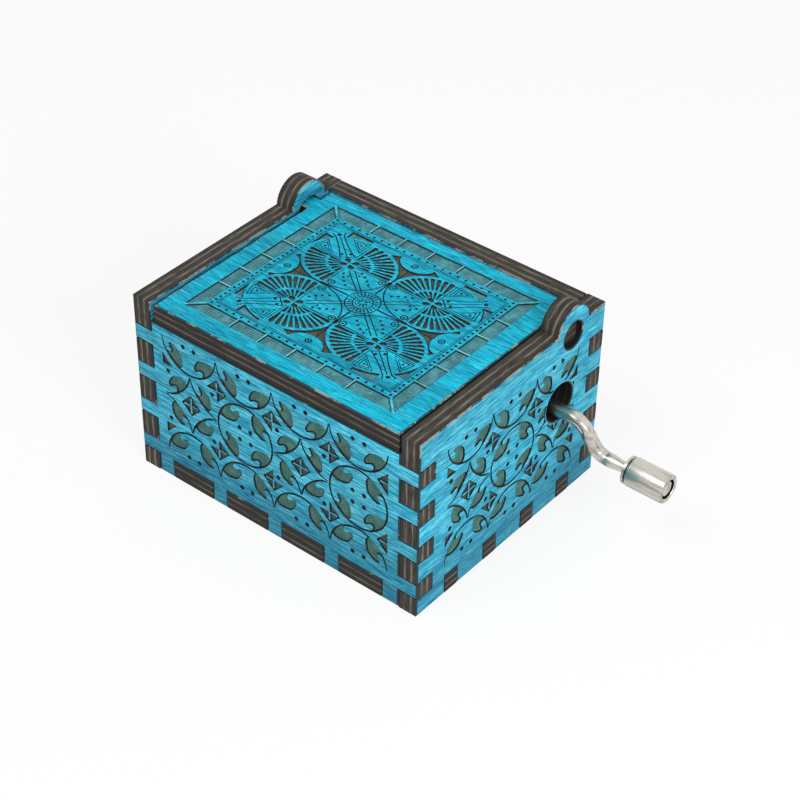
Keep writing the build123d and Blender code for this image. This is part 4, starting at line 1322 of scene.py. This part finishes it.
        # painted shade: the knob's mouth walls and floor are dark metal, standing in for the shade in the recess
        mouth_shade = Metal("painted_recess_shade", srgb(52, 48, 44), srgb(24, 22, 20), 0.5).material(self.effects)
        _, (_, *axis), (tip, *_) = box("crank_knob")
        pieces = (("crank_rod_pressed", "crank_rod", "crank", self.rod()),
                  ("knob_washer_rounded", "knob_washer", "crank", self.turned(self.washer_profile(), *axis)),
                  ("crank_knob_turned", "crank_knob", "knob", self.turned(self.knob_profile(), *axis)))
        for name, node, body, triangles in pieces:
            spots = triangles.mean(1)
            # the faces in the knob's mouth, which get the painted shade
            deep = (body == "knob") & (spots[:, 0] > tip - self.mouth_depth - 0.01) & (
                np.linalg.norm(spots[:, 1:] - axis, axis=1) < self.mouth_radius)
            dress(build_mesh(name, triangles, deep, [nickel, mouth_shade], 0.6), node, body)


# ---------------------------------------------------------------- movement
@dataclass
class Movement:
    """The comb-and-drum movement, whose pieces keep their CAD shapes and get their metals."""

    effects: Effects
    nodes: dict[str, bpy.types.Object]

    METALS = (
        (Metal("gilt_zinc", srgb(206, 178, 112), srgb(168, 140, 84), 0.34, dust=0.5), ("bedplate", "comb_shoe")),
        (Metal("comb_steel", srgb(176, 176, 178), srgb(140, 140, 144), 0.28, (500, 4000, 4000)), ("comb",)),
        (Metal("lead", srgb(112, 114, 118), srgb(84, 86, 90), 0.55), ("comb_weights",)),
        (Metal("bright_steel", srgb(196, 196, 196), srgb(160, 162, 164), 0.26), (
            "comb_screws", "bracket_screws", "base_screws", "front_bracket", "worm_bracket", "drum_arbor",
            "shaft_clip")),
        (Metal("bronze_bush", srgb(176, 128, 76), srgb(134, 96, 60), 0.36), ("left_crank_bush",
                                                                             "right_crank_bush")),
        (Metal("brass", srgb(214, 180, 104), srgb(172, 138, 76), 0.24, (3000, 500, 3000)), (
            "drum", "drum_front_cap", "drum_rear_cap", "worm_wheel", "worm")))

    def build(self) -> None:
        """Gives each piece its metal."""
        for metal, names in self.METALS:
            material = metal.material(self.effects)
            for name in names:
                for slot in self.nodes[name].material_slots:
                    slot.material = material
                LOG.info("movement piece %s: %s", name, metal.name)


# ---------------------------------------------------------------- studio
@dataclass
class Studio:
    """The camera at the photograph's viewing angle, soft light and a pale floor; places in millimetres."""

    effects: Effects
    target: Triple = (6.66, 0.686, 18.005)
    azimuth: float = 38.6036
    elevation: float = 38.4168
    roll: float = 1.0173
    distance: float = 376.424
    focal_pixels: float = 2122.23
    image_width: float = 800.0
    sensor: float = 36.0
    room_light: float = 0.52
    floor_size: float = 2000.0
    floor_drop: float = 0.02

    def camera(self) -> None:
        """Places the camera: azimuth 0 looks along +Y, and the roll turns it about its own line of sight."""
        data = bpy.data.cameras.new("camera")
        data.sensor_width = self.sensor
        data.lens = self.focal_pixels * self.sensor / self.image_width
        data.clip_start = 0.01
        turns = ((self.azimuth, "Z"), (90 - self.elevation, "X"), (self.roll, "Z"))
        swing, tilt, roll = (Matrix.Rotation(math.radians(angle), 4, axis) for angle, axis in turns)
        camera = link(bpy.data.objects.new("camera", data))
        camera.matrix_world = (Matrix.Translation(Vector(self.target) * MM) @ swing @ tilt @ roll
                               @ Matrix.Translation((0, 0, self.distance * MM)))
        bpy.context.scene.camera = camera

    def world(self) -> None:
        """Even light from all round, over a white backdrop."""
        world = bpy.data.worlds.new("white_room")
        world.use_nodes = True
        graph = Graph(world.node_tree)
        light, backdrop = (graph.node("ShaderNodeBackground", {0: WHITE, 1: strength})
                           for strength in (self.room_light, 1.0))
        graph.node("ShaderNodeOutputWorld", {0: graph.mix_shaders(seen(graph), light, backdrop)[0]})
        bpy.context.scene.world = world

    def floor(self) -> None:
        """A wide pale floor just under the box."""
        size = self.floor_size
        low, right, far, left = (np.array([(x * size, y * size, -self.floor_drop)]) for x, y in FLIPS[2:] + FLIPS[:2])
        material = PaleFloor("pale_floor").material(self.effects)
        floor = build_mesh("floor", quads(low, right, far, left), np.zeros(2, int), [material])

    def lamp(self, name: str, place: Triple, size: float, power: float) -> None:
        """A soft square lamp that points at the box, with its place and side in millimetres and its watts."""
        data = bpy.data.lights.new(name, "AREA")
        data.energy, data.size = power, size * MM
        spot, target = Vector(place) * MM, Vector(self.target) * MM
        turn = (spot - target).to_track_quat("Z", "Y").to_matrix().to_4x4()
        link(bpy.data.objects.new(name, data)).matrix_world = Matrix.Translation(spot) @ turn

    def build(self) -> None:
        """Sets up the whole studio."""
        bpy.context.scene.view_settings.view_transform = "Standard"
        self.camera()
        self.world()
        self.floor()
        self.lamp("key", (-40, -340, 560), 260, 1.4)
        self.lamp("side", (480, -140, 300), 240, 1.9)
        LOG.info("studio ready")


def main() -> None:
    """Builds the studio, the case, the crank and the movement."""
    logging.basicConfig(level=logging.INFO, format="%(name)s: %(message)s")
    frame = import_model()
    effects = Effects()
    Studio(effects).build()
    PlywoodCase(effects).build()
    Crank(effects).build()
    Movement(effects, frame["nodes"]).build()


if __name__ == "__main__":
    main()
